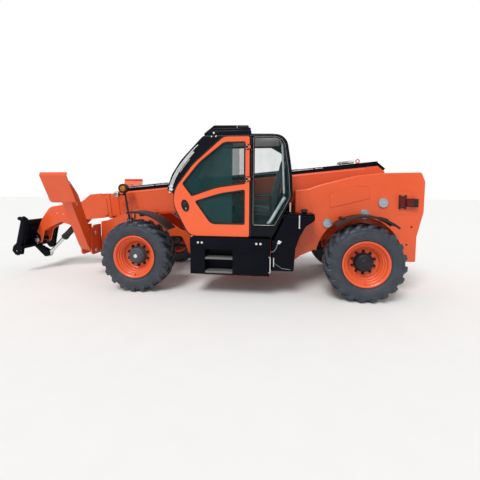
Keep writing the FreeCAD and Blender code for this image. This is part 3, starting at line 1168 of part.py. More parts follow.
def fenders():
    """Thin curved guards over the wheels, each with turned edges and a stay."""
    half = v.fender_width / 2
    made = []
    # Columns: how far ahead, radius, first and last angle above level ahead of the axle
    for axle, radius, first, last in ((0, v.fender_radius, 52, 130),
                                      (v.wheelbase, v.fender_radius + v.fender_raise, 80, 142)):
        lip, top = radius - v.fender_lip, radius + v.fender_thick
        band = lathe([(-half, lip, 0), (-half, top, 0), (half, top, 0), (half, lip, 0), (half - v.fender_thick, lip, 0),
                      (half - v.fender_thick, radius, 0), (-half + v.fender_thick, radius, 0),
                      (-half + v.fender_thick, lip, 0)], last - first)
        band = place(band, f"{axle}", "wheel_track / 2", "tyre_od / 2", V(0, 1, 0), -last)
        level = v.tyre_od / 2 + top - 3
        along = (f"{axle - 60}", f"{axle - 20}")
        tabs = [place(block(("-20", "20"), ("pod_out", "wheel_track / 2 + 60"), (f"{top - 3}", f"{top + 19}")),
                      f"{axle}", "0", "tyre_od / 2", V(0, 1, 0), turn) for turn in (-25, 25)]
        if axle:
            foot = v.nose_height - 60
            low, high = sorted((foot, level + 2))
            stay = fuse(block(along, ("frame_half", "wheel_track / 2"), (f"{foot}", f"{foot + 20}")),
                        block(along, ("wheel_track / 2 - 20", "wheel_track / 2"), (f"{low}", f"{high}")))
        else:
            stay = fuse(*tabs)
        made += both_sides(fuse(band, stay))
    node("fenders", group(*made))


def fittings():
    """Lamps at both ends, and the hose channel and pipes on the boom."""
    side = "frame_half + 60"
    foot = block(("wheelbase + 450", "wheelbase + 530"), ("frame_half", "frame_half + 80"), ("1050", "1110"))
    post = place(rod("17", ("0", "0", "0"), "560", "Z"), "wheelbase + 490", side, "1080", V(0, 1, 0), 9)
    head = rod("85", ("wheelbase + 590", f"{side} - 35", "1670"), "70")
    arm = block(("wheelbase + 560", "wheelbase + 720"), (f"{side} - 8", f"{side} + 8"), ("1540", "1565"))
    lamp = block(("wheelbase + 690", "wheelbase + 770"), (f"{side} - 40", f"{side} + 40"), ("1515", "1590"))
    front = fuse(post, foot, head, arm, lamp)
    lamp = fuse(block(("-670", "-570"), ("pod_out + seat_gap", "pod_out + 32"), ("1385", "1565")),
                block(("-775", "-660"), ("pod_out + 8", "pod_out + 55"), ("1405", "1530")),
                block(("-830", "-770"), ("pod_out + 8", "pod_out + 60"), ("1400", "1525")))
    node("lamps", group(*both_sides(front), *both_sides(lamp)))
    under = v.boom_under + v.boom_depth
    tall = v.rail_height
    rail = prism([(25, under, 0), (25, under + tall, 15), (115, under + tall, 15), (115, under, 0)],
                 "-170", "boom_length - 120", "YZ")
    pipes = [rod("11", ("40", f"{y}", f"{under + 11}"), "boom_length - 140", "X") for y in (-75, -49, -23)]
    clips = [block((f"{x}", f"{x + 40}"), ("-92", "26"), (f"{under}", f"{under + 20}")) for x in range(300, 4500, 700)]
    node("boom_pipes", boom_place(fuse(rail, *pipes, *clips)))


for make in (chassis, side_bodies, wheels, axles, boom, rams, carriage, stabilisers, cab, door,
             glazing, seat, console, steps, tank, engine_side, fenders, fittings):
    make()
doc.recompute()
faults = [thing.Name for thing in doc.Objects if {"Invalid", "Error"} & set(thing.State)]
if faults:
    raise SystemExit(f"features failed: {faults}")
for label, thing in NODES.items():
    if thing.Shape.isNull() or not thing.Shape.isValid() or thing.Shape.Volume <= 0:
        raise SystemExit(f"{label} has no valid solid")
    thing.Shape.exportStep(f"parts/{label}.step")
    box = thing.Shape.BoundBox
    print(f"{label}: {len(thing.Shape.Solids)} solids, {thing.Shape.Volume / 1e9:.4f} m3, "
          f"x {box.XMin:.0f} {box.XMax:.0f} y {box.YMin:.0f} {box.YMax:.0f} z {box.ZMin:.0f} {box.ZMax:.0f}")
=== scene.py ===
# %% [markdown]
# # A telescopic handler, dressed piece by piece
# The machine comes from CAD as plain solids that already have their true size and place.
# This lesson gives them paint, rubber and glass, and adds the small pieces that a camera
# sees: gaskets, bolts, tyres with lugs, a seat, lamps and steps. Everything is in metres,
# X to the machine's front, Y to its left, Z up, so a piece goes where the CAD says.

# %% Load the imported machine
import math
import bpy
import bmesh
from mathutils import Matrix, Vector


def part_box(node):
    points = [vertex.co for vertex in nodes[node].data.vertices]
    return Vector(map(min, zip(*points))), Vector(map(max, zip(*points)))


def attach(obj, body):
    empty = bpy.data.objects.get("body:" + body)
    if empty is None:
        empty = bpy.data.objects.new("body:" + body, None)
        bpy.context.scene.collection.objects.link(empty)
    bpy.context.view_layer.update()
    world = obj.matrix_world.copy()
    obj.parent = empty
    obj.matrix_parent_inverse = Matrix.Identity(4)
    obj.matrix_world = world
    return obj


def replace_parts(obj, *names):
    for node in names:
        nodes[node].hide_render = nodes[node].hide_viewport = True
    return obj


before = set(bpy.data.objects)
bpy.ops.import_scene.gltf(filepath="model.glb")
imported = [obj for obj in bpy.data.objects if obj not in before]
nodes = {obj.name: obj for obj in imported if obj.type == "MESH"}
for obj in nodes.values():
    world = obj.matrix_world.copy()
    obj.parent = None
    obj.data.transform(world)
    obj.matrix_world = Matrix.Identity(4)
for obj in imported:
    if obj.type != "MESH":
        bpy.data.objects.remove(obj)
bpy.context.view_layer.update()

# %% [markdown]
# ## One place to measure from
# A maker measures such a machine from an axle. Here every place is given as millimetres
# ahead of the rear axle, out to the left, and up from the ground. One small function turns
# that into the frame's metres, so the numbers below read like a drawing's.

# %% Places on the machine
MM = 0.001
rear_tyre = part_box("tyre_rear_left")
AXLE_X = (rear_tyre[0].x + rear_tyre[1].x) / 2


def at(ahead, out, up):
    return Vector((AXLE_X + ahead * MM, out * MM, up * MM))


print("rear axle at x =", round(AXLE_X, 3))

# %% [markdown]
# ## The camera
# The photographer stood about 5.5 m to the machine's left at eye height, a little ahead of
# its middle. The lens is wide, which is why the near tyre looks large and the nose tapers.
# The shift moves the frame without tilting the camera, so upright posts stay upright.

# %% Camera
camera = bpy.data.objects.new("camera", bpy.data.cameras.new("camera"))
bpy.context.collection.objects.link(camera)
camera.location = at(1314, 5495, 1634)
camera.rotation_euler = [math.radians(turn) for turn in (85.5537, -0.2757, -172.9174)]
camera.data.lens = 21.784
camera.data.sensor_width = 36
camera.data.shift_x = 0.001
camera.data.shift_y = -0.0552
bpy.context.scene.camera = camera
print("camera stands at", [round(value, 2) for value in camera.location])

# %% [markdown]
# ## Shader maths as plain Python
# A material is a tree of nodes. Written out node by node it is hard to read, so one small
# class wraps a node's output. Adding or multiplying two of them adds a Math node, and
# numbers are taken as they are. Any other node comes from one method: its type, its
# settings, and what goes into its sockets.

# %% A socket that can be summed and multiplied
class Wire:
    def __init__(self, paint, socket):
        self.paint = paint
        self.socket = socket

    def maths(self, operation, first, second=0.0):
        return self.paint.node("Math", {"operation": operation}, {0: first, 1: second})

    def __add__(self, other):
        return self.maths("ADD", self, other)

    def __radd__(self, other):
        return self.maths("ADD", other, self)

    def __sub__(self, other):
        return self.maths("SUBTRACT", self, other)

    def __rsub__(self, other):
        return self.maths("SUBTRACT", other, self)

    def __mul__(self, other):
        return self.maths("MULTIPLY", self, other)

    def __rmul__(self, other):
        return self.maths("MULTIPLY", other, self)

    def __truediv__(self, other):
        return self.maths("DIVIDE", self, other)

    def __rtruediv__(self, other):
        return self.maths("DIVIDE", other, self)

    def __pow__(self, other):
        return self.maths("POWER", self, other)


# %% A material and its nodes
class Paint:
    """A finish: the material, its shader and the nodes that drive it."""

    def __init__(self, name):
        self.material = bpy.data.materials.new(name)
        self.material.use_nodes = True
        self.tree = self.material.node_tree
        self.shader = self.tree.nodes["Principled BSDF"]
        self.place = self.node("TexCoord", {}, {}, "Object")

    def node(self, kind, settings, sockets, out=0):
        made = self.tree.nodes.new("ShaderNode" + kind)
        for key, value in settings.items():
            if key == "stops":
                ramp = made.color_ramp.elements
                while len(ramp) < len(value):
                    ramp.new(0.5)
                for stop, (position, tone) in zip(ramp, value):
                    stop.position = position
                    stop.color = (*tone, 1)
            else:
                setattr(made, key, value)
        for key, value in sockets.items():
            self.put(made.inputs[key], value)
        return Wire(self, made.outputs[out])

    def put(self, socket, value):
        if isinstance(value, Wire):
            self.tree.links.new(value.socket, socket)
        elif isinstance(value, tuple) and len(value) == 3 and socket.type == "RGBA":
            socket.default_value = (*value, 1)
        else:
            socket.default_value = value

    def set(self, **sockets):
        for key, value in sockets.items():
            self.put(self.shader.inputs[key.replace("_", " ")], value)

    def noise(self, scale, detail=3.0, rough=0.55, place=None):
        return self.node("TexNoise", {}, {"Vector": place or self.place, "Scale": scale,
                                          "Detail": detail, "Roughness": rough}, "Fac")

    def span(self, value, low, high, to_low=0.0, to_high=1.0):
        """The value drawn from one range to another, kept inside it."""
        return self.node("MapRange", {"clamp": True, "interpolation_type": "SMOOTHSTEP"},
                         {"Value": value, "From Min": low, "From Max": high,
                          "To Min": to_low, "To Max": to_high})

    def mix(self, share, first, second):
        """Two colours mixed by a share."""
        return self.node("Mix", {"data_type": "RGBA"}, {0: share, 6: first, 7: second}, 2)

    def axis(self, letter):
        return self.node("SeparateXYZ", {}, {0: self.place}, letter)

    def stretched(self, scale):
        return self.node("Mapping", {}, {"Vector": self.place, "Scale": scale}, 0)

    def bump(self, height, distance, strength=1.0, under=None):
        sockets = {"Height": height, "Distance": distance, "Strength": strength}
        if under is not None:
            sockets["Normal"] = under
        return self.node("Bump", {}, sockets)

    def soft_edges(self, radius):
        """Normals that roll over sharp edges, as folded sheet and castings do."""
        return self.node("Bevel", {"samples": 4}, {"Radius": radius})


print("materials are written with Paint and Wire")

# %% [markdown]
# ## The studio
# A pale floor and a white surround show the machine and nothing else. One broad sun stands
# for the daylight of a hall's open side, and the surround fills the shadows. The surround
# is seen white by the camera and through glass, but it lights the machine less than that,
# so orange stays orange.

# %% Floor
STAGE_TONE = (0.86, 0.86, 0.85)
floor_mesh = bmesh.new()
bmesh.ops.create_grid(floor_mesh, x_segments=1, y_segments=1, size=60)
floor_data = bpy.data.meshes.new("floor")
floor_mesh.to_mesh(floor_data)
floor_mesh.free()
floor = bpy.data.objects.new("floor", floor_data)
bpy.context.collection.objects.link(floor)
floor_paint = Paint("floor_paint")
speckle = floor_paint.noise(3.0, 5.0)
floor_paint.set(Base_Color=floor_paint.mix(speckle, STAGE_TONE, (0.82, 0.82, 0.81)), Roughness=0.9)
floor_data.materials.append(floor_paint.material)

# %% Light
SURROUND_LIGHT = 0.62
SUN_LIGHT = 2.1
world = bpy.data.worlds.new("surround")
bpy.context.scene.world = world
world.use_nodes = True
sky = world.node_tree
rays = sky.nodes.new("ShaderNodeLightPath")
seen = sky.nodes.new("ShaderNodeMath")
seen.operation = "MAXIMUM"
sky.links.new(rays.outputs["Is Camera Ray"], seen.inputs[0])
sky.links.new(rays.outputs["Is Transmission Ray"], seen.inputs[1])
level = sky.nodes.new("ShaderNodeMapRange")
level.inputs["To Min"].default_value = SURROUND_LIGHT
level.inputs["To Max"].default_value = 1.0
sky.links.new(seen.outputs[0], level.inputs["Value"])
sky.nodes["Background"].inputs["Color"].default_value = (1, 1, 1, 1)
sky.links.new(level.outputs[0], sky.nodes["Background"].inputs["Strength"])

sun = bpy.data.objects.new("sun", bpy.data.lights.new("sun", "SUN"))
sun.data.energy = SUN_LIGHT
sun.data.angle = math.radians(25)
sun.rotation_euler = (math.radians(-38), math.radians(14), 0)
bpy.context.collection.objects.link(sun)
bpy.context.scene.view_settings.view_transform = "Standard"
print("sun and surround set")

# %% [markdown]
# ## What every finish shares
# New machines still gather a film of dust, more of it low down and on what faces up. What
# faces up is also lightened by the same film as a painted sheen, where the light falls on it.
# Each finish gets that film from two things only: the height above the ground, and how far
# its surface points up. Both come from the piece itself, so the film stays put from any side.

# %% Dust that settles, and painted sheen on what faces up
# One colour for settled dust and for the painted sheen on upward faces.
DUST_AND_SHEEN = (0.42, 0.36, 0.29)


def dust_and_sheen_film(paint, most):
    """How much dust and painted sheen lie on a surface, from 0 to the most."""
    facing = paint.node("NewGeometry", {}, {}, "Normal")
    up = paint.node("SeparateXYZ", {}, {0: facing}, "Z")
    low = 1 - paint.span(paint.axis("Z"), 0.1, 1.3)
    # Faces that point up get more of the film: part settled dust, part painted sheen of falling light.
    flat = paint.span(up, 0.35, 1.0)
    patch = paint.span(paint.noise(5.0, 6.0, 0.65), 0.35, 0.75)
    return (0.25 + low * 0.75) * (0.35 + flat * 0.65) * (0.3 + patch * 0.7) * most


# %% [markdown]
# ## Orange paint
# The bodywork is sprayed in a bright orange over steel sheet. Up close such paint is never
# flat: the sheet waves a little under it, the coat has a fine orange peel, and its tone
# drifts from panel to panel. A clear coat gives the sharp part of the gloss. The edges are
# rolled with a Bevel node, because a folded sheet catches light along its fold.

# %% Orange and black paint
def sprayed(name, tone, deep, rough, coat, dust_and_sheen_amount, radius=0.004, peel=1.0, gloss=0.5):
    paint = Paint(name)
    drift = paint.span(paint.noise(1.3, 4.0), 0.3, 0.7)
    cloud = paint.span(paint.noise(14.0, 5.0), 0.3, 0.75)
    # Dust low down, with painted sheen on upward faces, laid over the paint.
    dust_and_sheen = dust_and_sheen_film(paint, dust_and_sheen_amount)
    colour = paint.mix(drift * 0.5 + cloud * 0.2, tone, deep)
    edge = paint.soft_edges(radius)
    waves = paint.bump(paint.noise(4.0, 2.0), 0.006 * peel, 0.35, edge)
    grain = paint.bump(paint.noise(420.0, 2.0), 0.0004 * peel, 0.30, waves)
    paint.set(Base_Color=paint.mix(dust_and_sheen, colour, DUST_AND_SHEEN), Roughness=rough + cloud * 0.08 + dust_and_sheen * 0.5,
              Coat_Weight=coat - dust_and_sheen * coat, Coat_Roughness=0.07, Specular_IOR_Level=gloss, Normal=grain)
    return paint.material


orange = sprayed("orange_paint", (0.78, 0.098, 0.020), (0.68, 0.075, 0.013), 0.32, 0.30, 0.18, gloss=0.35)
# The door is the same orange painted lighter: a painted highlight of the light falling on it.
door_orange_lit = sprayed("door_paint_lit", (0.84, 0.118, 0.030), (0.78, 0.10, 0.022), 0.28, 0.35, 0.06, gloss=0.35)
black = sprayed("black_paint", (0.0025, 0.0032, 0.0065), (0.005, 0.006, 0.011), 0.34, 0.02, 0.015, 0.0015, 0.6, 0.05)
cab_black = sprayed("cab_black", (0.0028, 0.0038, 0.0075), (0.005, 0.006, 0.011), 0.24, 0.06, 0.01, 0.001, 0.4, 0.10)
under_black = sprayed("under_black", (0.010, 0.010, 0.012), (0.018, 0.017, 0.017), 0.45, 0.03, 0.30, gloss=0.2)
print("paints:", orange.name, door_orange_lit.name, black.name, cab_black.name, under_black.name)

# %% [markdown]
# ## Rubber, plastic and the rest
# Rubber and moulded plastic have no clear coat. Their grain is a bump at a fine scale and
# their gloss is broad. Bare and plated metals are the other way round: an even colour with
# small scratches that change the roughness along one direction.

# %% Rubber and plastic
def moulded(name, tone, deep, rough, grain_scale, grain_depth, dust_and_sheen_amount, radius=0.002):
    paint = Paint(name)
    cloud = paint.span(paint.noise(9.0, 6.0, 0.6), 0.25, 0.8)
    fine = paint.noise(grain_scale, 4.0, 0.6)
    # Dust low down, with painted sheen on upward faces, laid over the plastic.
    dust_and_sheen = dust_and_sheen_film(paint, dust_and_sheen_amount)
    edge = paint.soft_edges(radius)
    paint.set(Base_Color=paint.mix(dust_and_sheen, paint.mix(cloud, tone, deep), DUST_AND_SHEEN),
              Roughness=rough + fine * 0.12 + dust_and_sheen * 0.2, Specular_IOR_Level=0.28,
              Normal=paint.bump(fine, grain_depth, 0.6, edge))
    return paint.material


plastic = moulded("black_plastic", (0.010, 0.010, 0.012), (0.018, 0.018, 0.02), 0.42, 260.0, 0.0006, 0.16)
trim_plastic = moulded("trim_plastic", (0.05, 0.053, 0.058), (0.075, 0.078, 0.082), 0.5, 300.0, 0.0005, 0.05)
gasket_rubber = moulded("gasket_rubber", (0.008, 0.008, 0.009), (0.016, 0.016, 0.017), 0.38, 500.0, 0.0003, 0.05)


# %% Metals
def metal(name, tone, rough, scratch, stretch=(4.0, 4.0, 90.0), dust_and_sheen_amount=0.05, metallic=1.0):
    paint = Paint(name)
    lines = paint.noise(22.0, 5.0, 0.6, paint.stretched(stretch))
    cloud = paint.noise(30.0, 3.0)
    # Dust low down, with painted sheen on upward faces, laid over the metal.
    dust_and_sheen = dust_and_sheen_film(paint, dust_and_sheen_amount)
    dull = tuple(value * 0.78 for value in tone)
    paint.set(Base_Color=paint.mix(dust_and_sheen, paint.mix(cloud * 0.6, tone, dull), DUST_AND_SHEEN),
              Metallic=metallic - dust_and_sheen * metallic,
              Roughness=rough + (lines - 0.5) * scratch + dust_and_sheen * 0.5,
              Normal=paint.bump(lines, 0.0004, 0.4, paint.soft_edges(0.0015)))
    return paint.material


chrome = metal("chrome_rod", (0.78, 0.79, 0.80), 0.10, 0.05)
zinc = metal("zinc_bolts", (0.62, 0.62, 0.60), 0.32, 0.12)
bright_zinc = metal("bright_bolts", (0.86, 0.86, 0.84), 0.35, 0.10, dust_and_sheen_amount=0.02)
pin_silver = metal("pin_caps", (0.46, 0.53, 0.58), 0.33, 0.18, dust_and_sheen_amount=0.02)
cast_iron = metal("engine_castings", (0.10, 0.105, 0.11), 0.55, 0.15, dust_and_sheen_amount=0.3, metallic=0.6)
step_steel = metal("step_treads", (0.20, 0.205, 0.21), 0.5, 0.15, dust_and_sheen_amount=0.25, metallic=0.8)
slide_grease = metal("greased_slide", (0.30, 0.27, 0.22), 0.25, 0.2, dust_and_sheen_amount=0.1, metallic=0.5)

# %% [markdown]
# ## Tinted glass
# Cab glass is tinted a blue green. From outside most of what one sees is the dark inside
# of the cab with the surround mirrored on top. A transparent shader would let the pale
# surround straight through, so the glass paints that shade of the cab's inside: its dark tint
# covers a good part of the view by its alpha, more ahead of the door post than behind it.


# %% Glass and lenses
def tinted(name, tone, painted_shade_cover, clear, edge, smear):
    """Glass whose dark tint paints the cab's shaded inside: it covers the view by one share ahead of an edge and by a
    lower one behind it.
    """
    paint = Paint(name)
    streak = paint.span(paint.noise(3.0, 5.0, 0.6, paint.stretched((1.0, 1.0, 0.35))), 0.35, 0.8)
    # Painted shade: darker ahead of the edge, where the cab's inside shows dark, and clearer behind it.
    ahead = paint.span(paint.axis("X"), edge, edge + 0.02, clear, painted_shade_cover)
    deep = tuple(value * 0.55 for value in tone)
    paint.set(Base_Color=paint.mix(streak, tone, deep), Alpha=ahead + streak * smear, Roughness=0.03 + streak * 0.05,
              Specular_IOR_Level=0.25, Coat_Weight=0.05, Coat_Roughness=0.02)
    return paint.material


POST_EDGE = at(1955, 0, 0).x
# Dark door glass and paler side glass paint the shade inside the cab.
door_glass = tinted("door_glass_tint_and_shade", (0.006, 0.042, 0.044), 0.80, 0.22, POST_EDGE, 0.07)
side_glass = tinted("side_glass_tint_and_shade", (0.040, 0.13, 0.13), 0.34, 0.05, POST_EDGE, 0.06)


screen_edge = moulded("screen_edge", (0.30, 0.36, 0.40), (0.62, 0.67, 0.70), 0.12, 30.0, 0.0004, 0.0)


def lens(name, tone, glow):
    """A moulded lens: ribs behind a smooth face."""
    paint = Paint(name)
    ribs = paint.node("TexWave", {"wave_type": "BANDS", "bands_direction": "Z"},
                      {"Vector": paint.place, "Scale": 60.0, "Distortion": 0.0}, "Fac")
    dark = tuple(value * 0.55 for value in tone)
    paint.set(Base_Color=paint.mix(ribs, dark, tone), Roughness=0.12 + ribs * 0.08,
              Normal=paint.bump(ribs, 0.001, 0.5), Specular_IOR_Level=0.2, Coat_Weight=0.12,
              Coat_Roughness=0.03)
    return paint.material


red_lens = lens("red_lens", (0.15, 0.008, 0.005), 0.0)
amber_lens = lens("amber_lens", (0.65, 0.18, 0.01), 0.0)
clear_lens = lens("clear_lens", (0.62, 0.64, 0.66), 0.0)
print("glass and lenses:", door_glass.name, side_glass.name, red_lens.name, amber_lens.name)

# %% [markdown]
# ## Paint on the CAD pieces
# The big steel pieces keep their CAD shape and only change their finish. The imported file
# already has a material slot on each, so the finish goes straight into that slot.

# %% Finish every CAD node
FINISHES = {
    "orange": (orange, "frame_plate_left frame_plate_right frame_cross front_beam side_body_left side_body_right "
                       "boom_outer boom_middle boom_inner engine_hood stabiliser_leg_left stabiliser_leg_right "
                       "stabiliser_pad_left stabiliser_pad_right"),
    # The door gets the lighter orange, which paints the light on it.
    "door": (door_orange_lit, "door"),
    "black": (black, "step_box tank engine_tray carriage boom_pipes"),
    "cab": (cab_black, "cab_shell cab_roof"),
    "running gear": (under_black, "axle_front axle_rear knuckle_front_left knuckle_front_right knuckle_rear_left "
                                  "knuckle_rear_right lift_barrel level_barrel tilt_barrel "
                                  "stabiliser_leg_barrel_left stabiliser_leg_barrel_right"),
    "plastic": (plastic, "fenders seat_base lamps"),
    "trim": (trim_plastic, "dash seat"),
    "rods": (chrome, "lift_rod level_rod tilt_rod stabiliser_leg_rod_left stabiliser_leg_rod_right"),
    "engine": (cast_iron, "engine"),
    "door glass": (door_glass, "door_glass"),
    "side glass": (side_glass, "cab_glass"),
    "tyres": (under_black, " ".join(f"tyre_{end}_{side} rim_{end}_{side}"
                                    for end in ("front", "rear") for side in ("left", "right"))),
}
painted = set()
for title, (paint, names) in FINISHES.items():
    for name in names.split():
        data = nodes[name].data
        data.materials.clear()
        data.materials.append(paint)
        painted.add(name)
print("nodes with a finish:", len(painted), "of", len(nodes), "left:", sorted(set(nodes) - painted))

# %% [markdown]
# ## Tools for new pieces
# Every new piece is a small mesh: bars, plates, turned shapes and rings cut from a flat
# outline. A few helpers start each from one of Blender's own operators and round its edges,
# because no real edge is perfectly sharp. The piece is then given smooth shading with its
# true corners kept, its finish, and the body that it moves with.

# %% From bmesh to a finished piece
PIECES = []


def piece(name, mesh, body, slot, paint, *more_paints, corner=32):
    """Turn a bmesh into an object that rides on a body."""
    bmesh.ops.remove_doubles(mesh, verts=mesh.verts, dist=0.00002)
    bmesh.ops.recalc_face_normals(mesh, faces=mesh.faces)
    data = bpy.data.meshes.new(name)
    mesh.to_mesh(data)
    mesh.free()
    for one in (paint, *more_paints):
        data.materials.append(one)
    data.shade_smooth()
    data.set_sharp_from_angle(angle=math.radians(corner))
    made = bpy.data.objects.new(name, data)
    bpy.context.collection.objects.link(made)
    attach(made, body)
    PIECES.append(made)
    return made


def sharp_edges(edges, angle=30):
    return [edge for edge in edges if len(edge.link_faces) == 2
            and edge.calc_face_angle(0) > math.radians(angle)]


def rounded(mesh, edges, radius, steps=2):
    if radius > 0 and edges:
        bmesh.ops.bevel(mesh, geom=edges, offset=radius, segments=steps, profile=0.5,
                        affect="EDGES", material=-1, clamp_overlap=True)


def new_edges(before, mesh):
    return [edge for edge in mesh.edges if edge not in before]


# %% Plates, bars and turned shapes
def plate(mesh, low, high, radius=0.002, steps=2, turn=None, tone=0):
    """A box from its low corner to its high one, with rounded edges, turned about its middle."""
    before = set(mesh.edges)
    old_faces = set(mesh.faces)
    middle = (low + high) / 2
    size = high - low
    shape = Matrix.Diagonal((abs(size.x), abs(size.y), abs(size.z), 1))
    place = Matrix.Translation(middle) @ (turn or Matrix.Identity(4)) @ shape
    bmesh.ops.create_cube(mesh, size=1, matrix=place)
    rounded(mesh, new_edges(before, mesh), radius, steps)
    for face in mesh.faces:
        if face not in old_faces:
            face.material_index = tone


def bar(mesh, start, end, radius, end_radius=None, sides=20, edge=0.0, tone=0):
    """A round bar between two points."""
    before = set(mesh.edges)
    old_faces = set(mesh.faces)
    line = end - start
    turn = line.to_track_quat("Z", "Y").to_matrix().to_4x4()
    place = Matrix.Translation((start + end) / 2) @ turn
    top = radius if end_radius is None else end_radius
    bmesh.ops.create_cone(mesh, cap_ends=True, segments=sides, radius1=radius, radius2=top,
                          depth=line.length, matrix=place)
    fresh = new_edges(before, mesh)
    rounded(mesh, sharp_edges(fresh, 50), edge)
    for face in mesh.faces:
        if face not in old_faces:
            face.material_index = tone


def ball(mesh, centre, radius, shape=(1, 1, 1), tone=0):
    old_faces = set(mesh.faces)
    place = Matrix.Translation(centre) @ Matrix.Diagonal((*shape, 1))
    bmesh.ops.create_uvsphere(mesh, u_segments=20, v_segments=12, radius=radius, matrix=place)
    for face in mesh.faces:
        if face not in old_faces:
            face.material_index = tone


def turned(mesh, rows, centre, steps=96, along=Vector((0, 1, 0)), tone=0):
    """A profile of (out along the axis, radius) rows in metres, spun round the axis."""
    across = Vector((0, 0, 1)) if abs(along.z) < 0.9 else Vector((1, 0, 0))
    verts = [mesh.verts.new(centre + along * out + across * radius) for out, radius in rows]
    edges = [mesh.edges.new(pair) for pair in zip(verts, verts[1:])]
    old_faces = set(mesh.faces)
    bmesh.ops.spin(mesh, geom=verts + edges, cent=centre, axis=along, dvec=(0, 0, 0),
                   angle=math.tau, steps=steps, use_merge=True, use_duplicate=False)
    for face in mesh.faces:
        if face not in old_faces:
            face.material_index = tone


def bead(mesh, points, radius, tone=0, sides=8):
    """A round line through points, closed with balls so that its corners stay full."""
    for start, end in zip(points, points[1:]):
        bar(mesh, start, end, radius, sides=sides, tone=tone)
        ball(mesh, end, radius, tone=tone)


def hexagon(mesh, foot, along, size, height, tone=0, washer=1.3):
    """A bolt head on a washer: across-corners radius and height, standing on its foot."""
    along = along.normalized()
    if washer:
        bar(mesh, foot, foot + along * height * 0.25, size * washer, sides=20, edge=height * 0.05, tone=tone)
    bar(mesh, foot + along * height * 0.2, foot + along * height, size, sides=6, edge=size * 0.09, tone=tone)


# %% Flat outlines with rounded corners
def outline(mesh, rows, place):
    """A flat face from corners of (across, up, corner radius) in millimetres. place turns
    a corner into a point of the machine."""
    verts = [mesh.verts.new(place(across, up)) for across, up, radius in rows]
    face = mesh.faces.new(verts)
    face.normal_update()
    count = len(rows)
    for index, (across, up, radius) in enumerate(rows):
        if radius <= 0:
            continue
        here = verts[index]
        last, after = Vector(rows[index - 1][:2]), Vector(rows[(index + 1) % count][:2])
        spot = Vector((across, up))
        turn = math.pi - (last - spot).angle(after - spot)
        reach = radius * math.tan(turn / 2) * MM
        bmesh.ops.bevel(mesh, geom=[here], offset=reach, segments=8, profile=0.5,
                        affect="VERTICES", material=-1, clamp_overlap=False)
    return max(mesh.faces, key=lambda one: one.calc_area())


def band(rows, place, width, out, thick, edge=0.0, lap=0.0):
    """A flat ring along an outline, from a width inside it to a lap outside, pushed out by its thickness."""
    mesh = bmesh.new()
    face = outline(mesh, rows, place)
    if lap:
        grown = bmesh.ops.inset_region(mesh, faces=[face], thickness=-lap, use_boundary=True,
                                       use_even_offset=True)["faces"]
        bmesh.ops.delete(mesh, geom=grown, context="FACES")
    ring = bmesh.ops.inset_region(mesh, faces=[face], thickness=width + lap, use_boundary=True,
                                  use_even_offset=True)["faces"]
    bmesh.ops.delete(mesh, geom=[face], context="FACES_ONLY")
    lifted = bmesh.ops.extrude_face_region(mesh, geom=ring)["geom"]
    bmesh.ops.translate(mesh, vec=out * thick, verts=[part for part in lifted if isinstance(part, bmesh.types.BMVert)])
    rounded(mesh, sharp_edges(mesh.edges, 60), edge)
    return mesh


print("tools: plate, bar, ball, turned, hexagon, outline, band")

# %% [markdown]
# ## Tyres
# A traction tyre is a smooth round carcass with tall bars moulded on it. The bars start at
# the middle of the tread, sweep out to the shoulder and fade down the sidewall, and the two
# halves are staggered by half a step. The carcass is a profile spun round the axle. One bar
# is a block, divided along its length, with soft edges, then bent over the carcass, and the
# other bars are turned copies of it. Modelling the bars keeps the jagged outline that a
# bump map can't give.

# %% Tyre sizes
TYRE_RADIUS = 580
BAR_COUNT = 20
BAR_STEP = 360 / BAR_COUNT
BAR_LEAN = 7
# Columns: out from the tyre's middle, radius
SIDEWALL = [(152, 309), (160, 318), (168, 333), (174, 344), (181, 350), (186, 358), (187, 366), (184, 371),
            (188, 377), (193, 392), (197, 420), (198, 450), (196, 474), (191, 487), (191, 494), (186, 497),
            (183, 510), (175, 525), (160, 537), (132, 543), (80, 547), (0, 549)]
# Columns: out, radius of the bar's top, radius of its foot, turn in degrees, half width
BAR_PATH = [(-12, 579, 545, 0.0, 24), (40, 580, 544, 3.4, 25), (92, 579, 541, 7.2, 27), (140, 576, 536, 10.8, 29),
            (172, 569, 524, 13.0, 31), (190, 552, 508, 14.2, 32), (197.5, 526, 494, 14.9, 31), (198, 501, 482, 15.3, 28)]
print("bars on each half:", BAR_COUNT, "one every", BAR_STEP, "degrees")


# %% One bent bar
def tread_bar(mesh, start, side):
    """A block divided along its length, its edges rounded, then bent along the bar's path."""
    lengths = len(BAR_PATH) - 1
    block = bmesh.new()
    bmesh.ops.create_cube(block, size=1)
    along = [edge for edge in block.edges if abs((edge.verts[0].co - edge.verts[1].co).normalized().x) > 0.9]
    bmesh.ops.subdivide_edges(block, edges=along, cuts=lengths * 2 - 1, use_grid_fill=True)
    rims = [edge for edge in sharp_edges(block.edges, 60) if min(one.co.z for one in edge.verts) > 0.4]
    bmesh.ops.bevel(block, geom=rims, offset=0.11, segments=2, profile=0.5, affect="EDGES",
                    material=-1, clamp_overlap=True)
    for vert in block.verts:
        share = min(max(vert.co.x + 0.5, 0), 1) * lengths
        index = min(int(share), lengths - 1)
        part = share - index
        out, top, foot, turn, half = [low + (high - low) * part
                                      for low, high in zip(BAR_PATH[index], BAR_PATH[index + 1])]
        depth = 0.5 - vert.co.z
        radius = top + (foot - top) * depth
        spread = math.degrees(vert.co.y * 2 * half * (1 + 0.18 * depth) / radius)
        angle = math.radians(start + turn + spread)
        lean = BAR_LEAN * depth if out > 180 else 0
        vert.co = Vector((math.sin(angle) * radius, side * (out - lean), math.cos(angle) * radius)) * MM
    made = bpy.data.meshes.new("bar")
    block.to_mesh(made)
    block.free()
    mesh.from_mesh(made)
    bpy.data.meshes.remove(made)


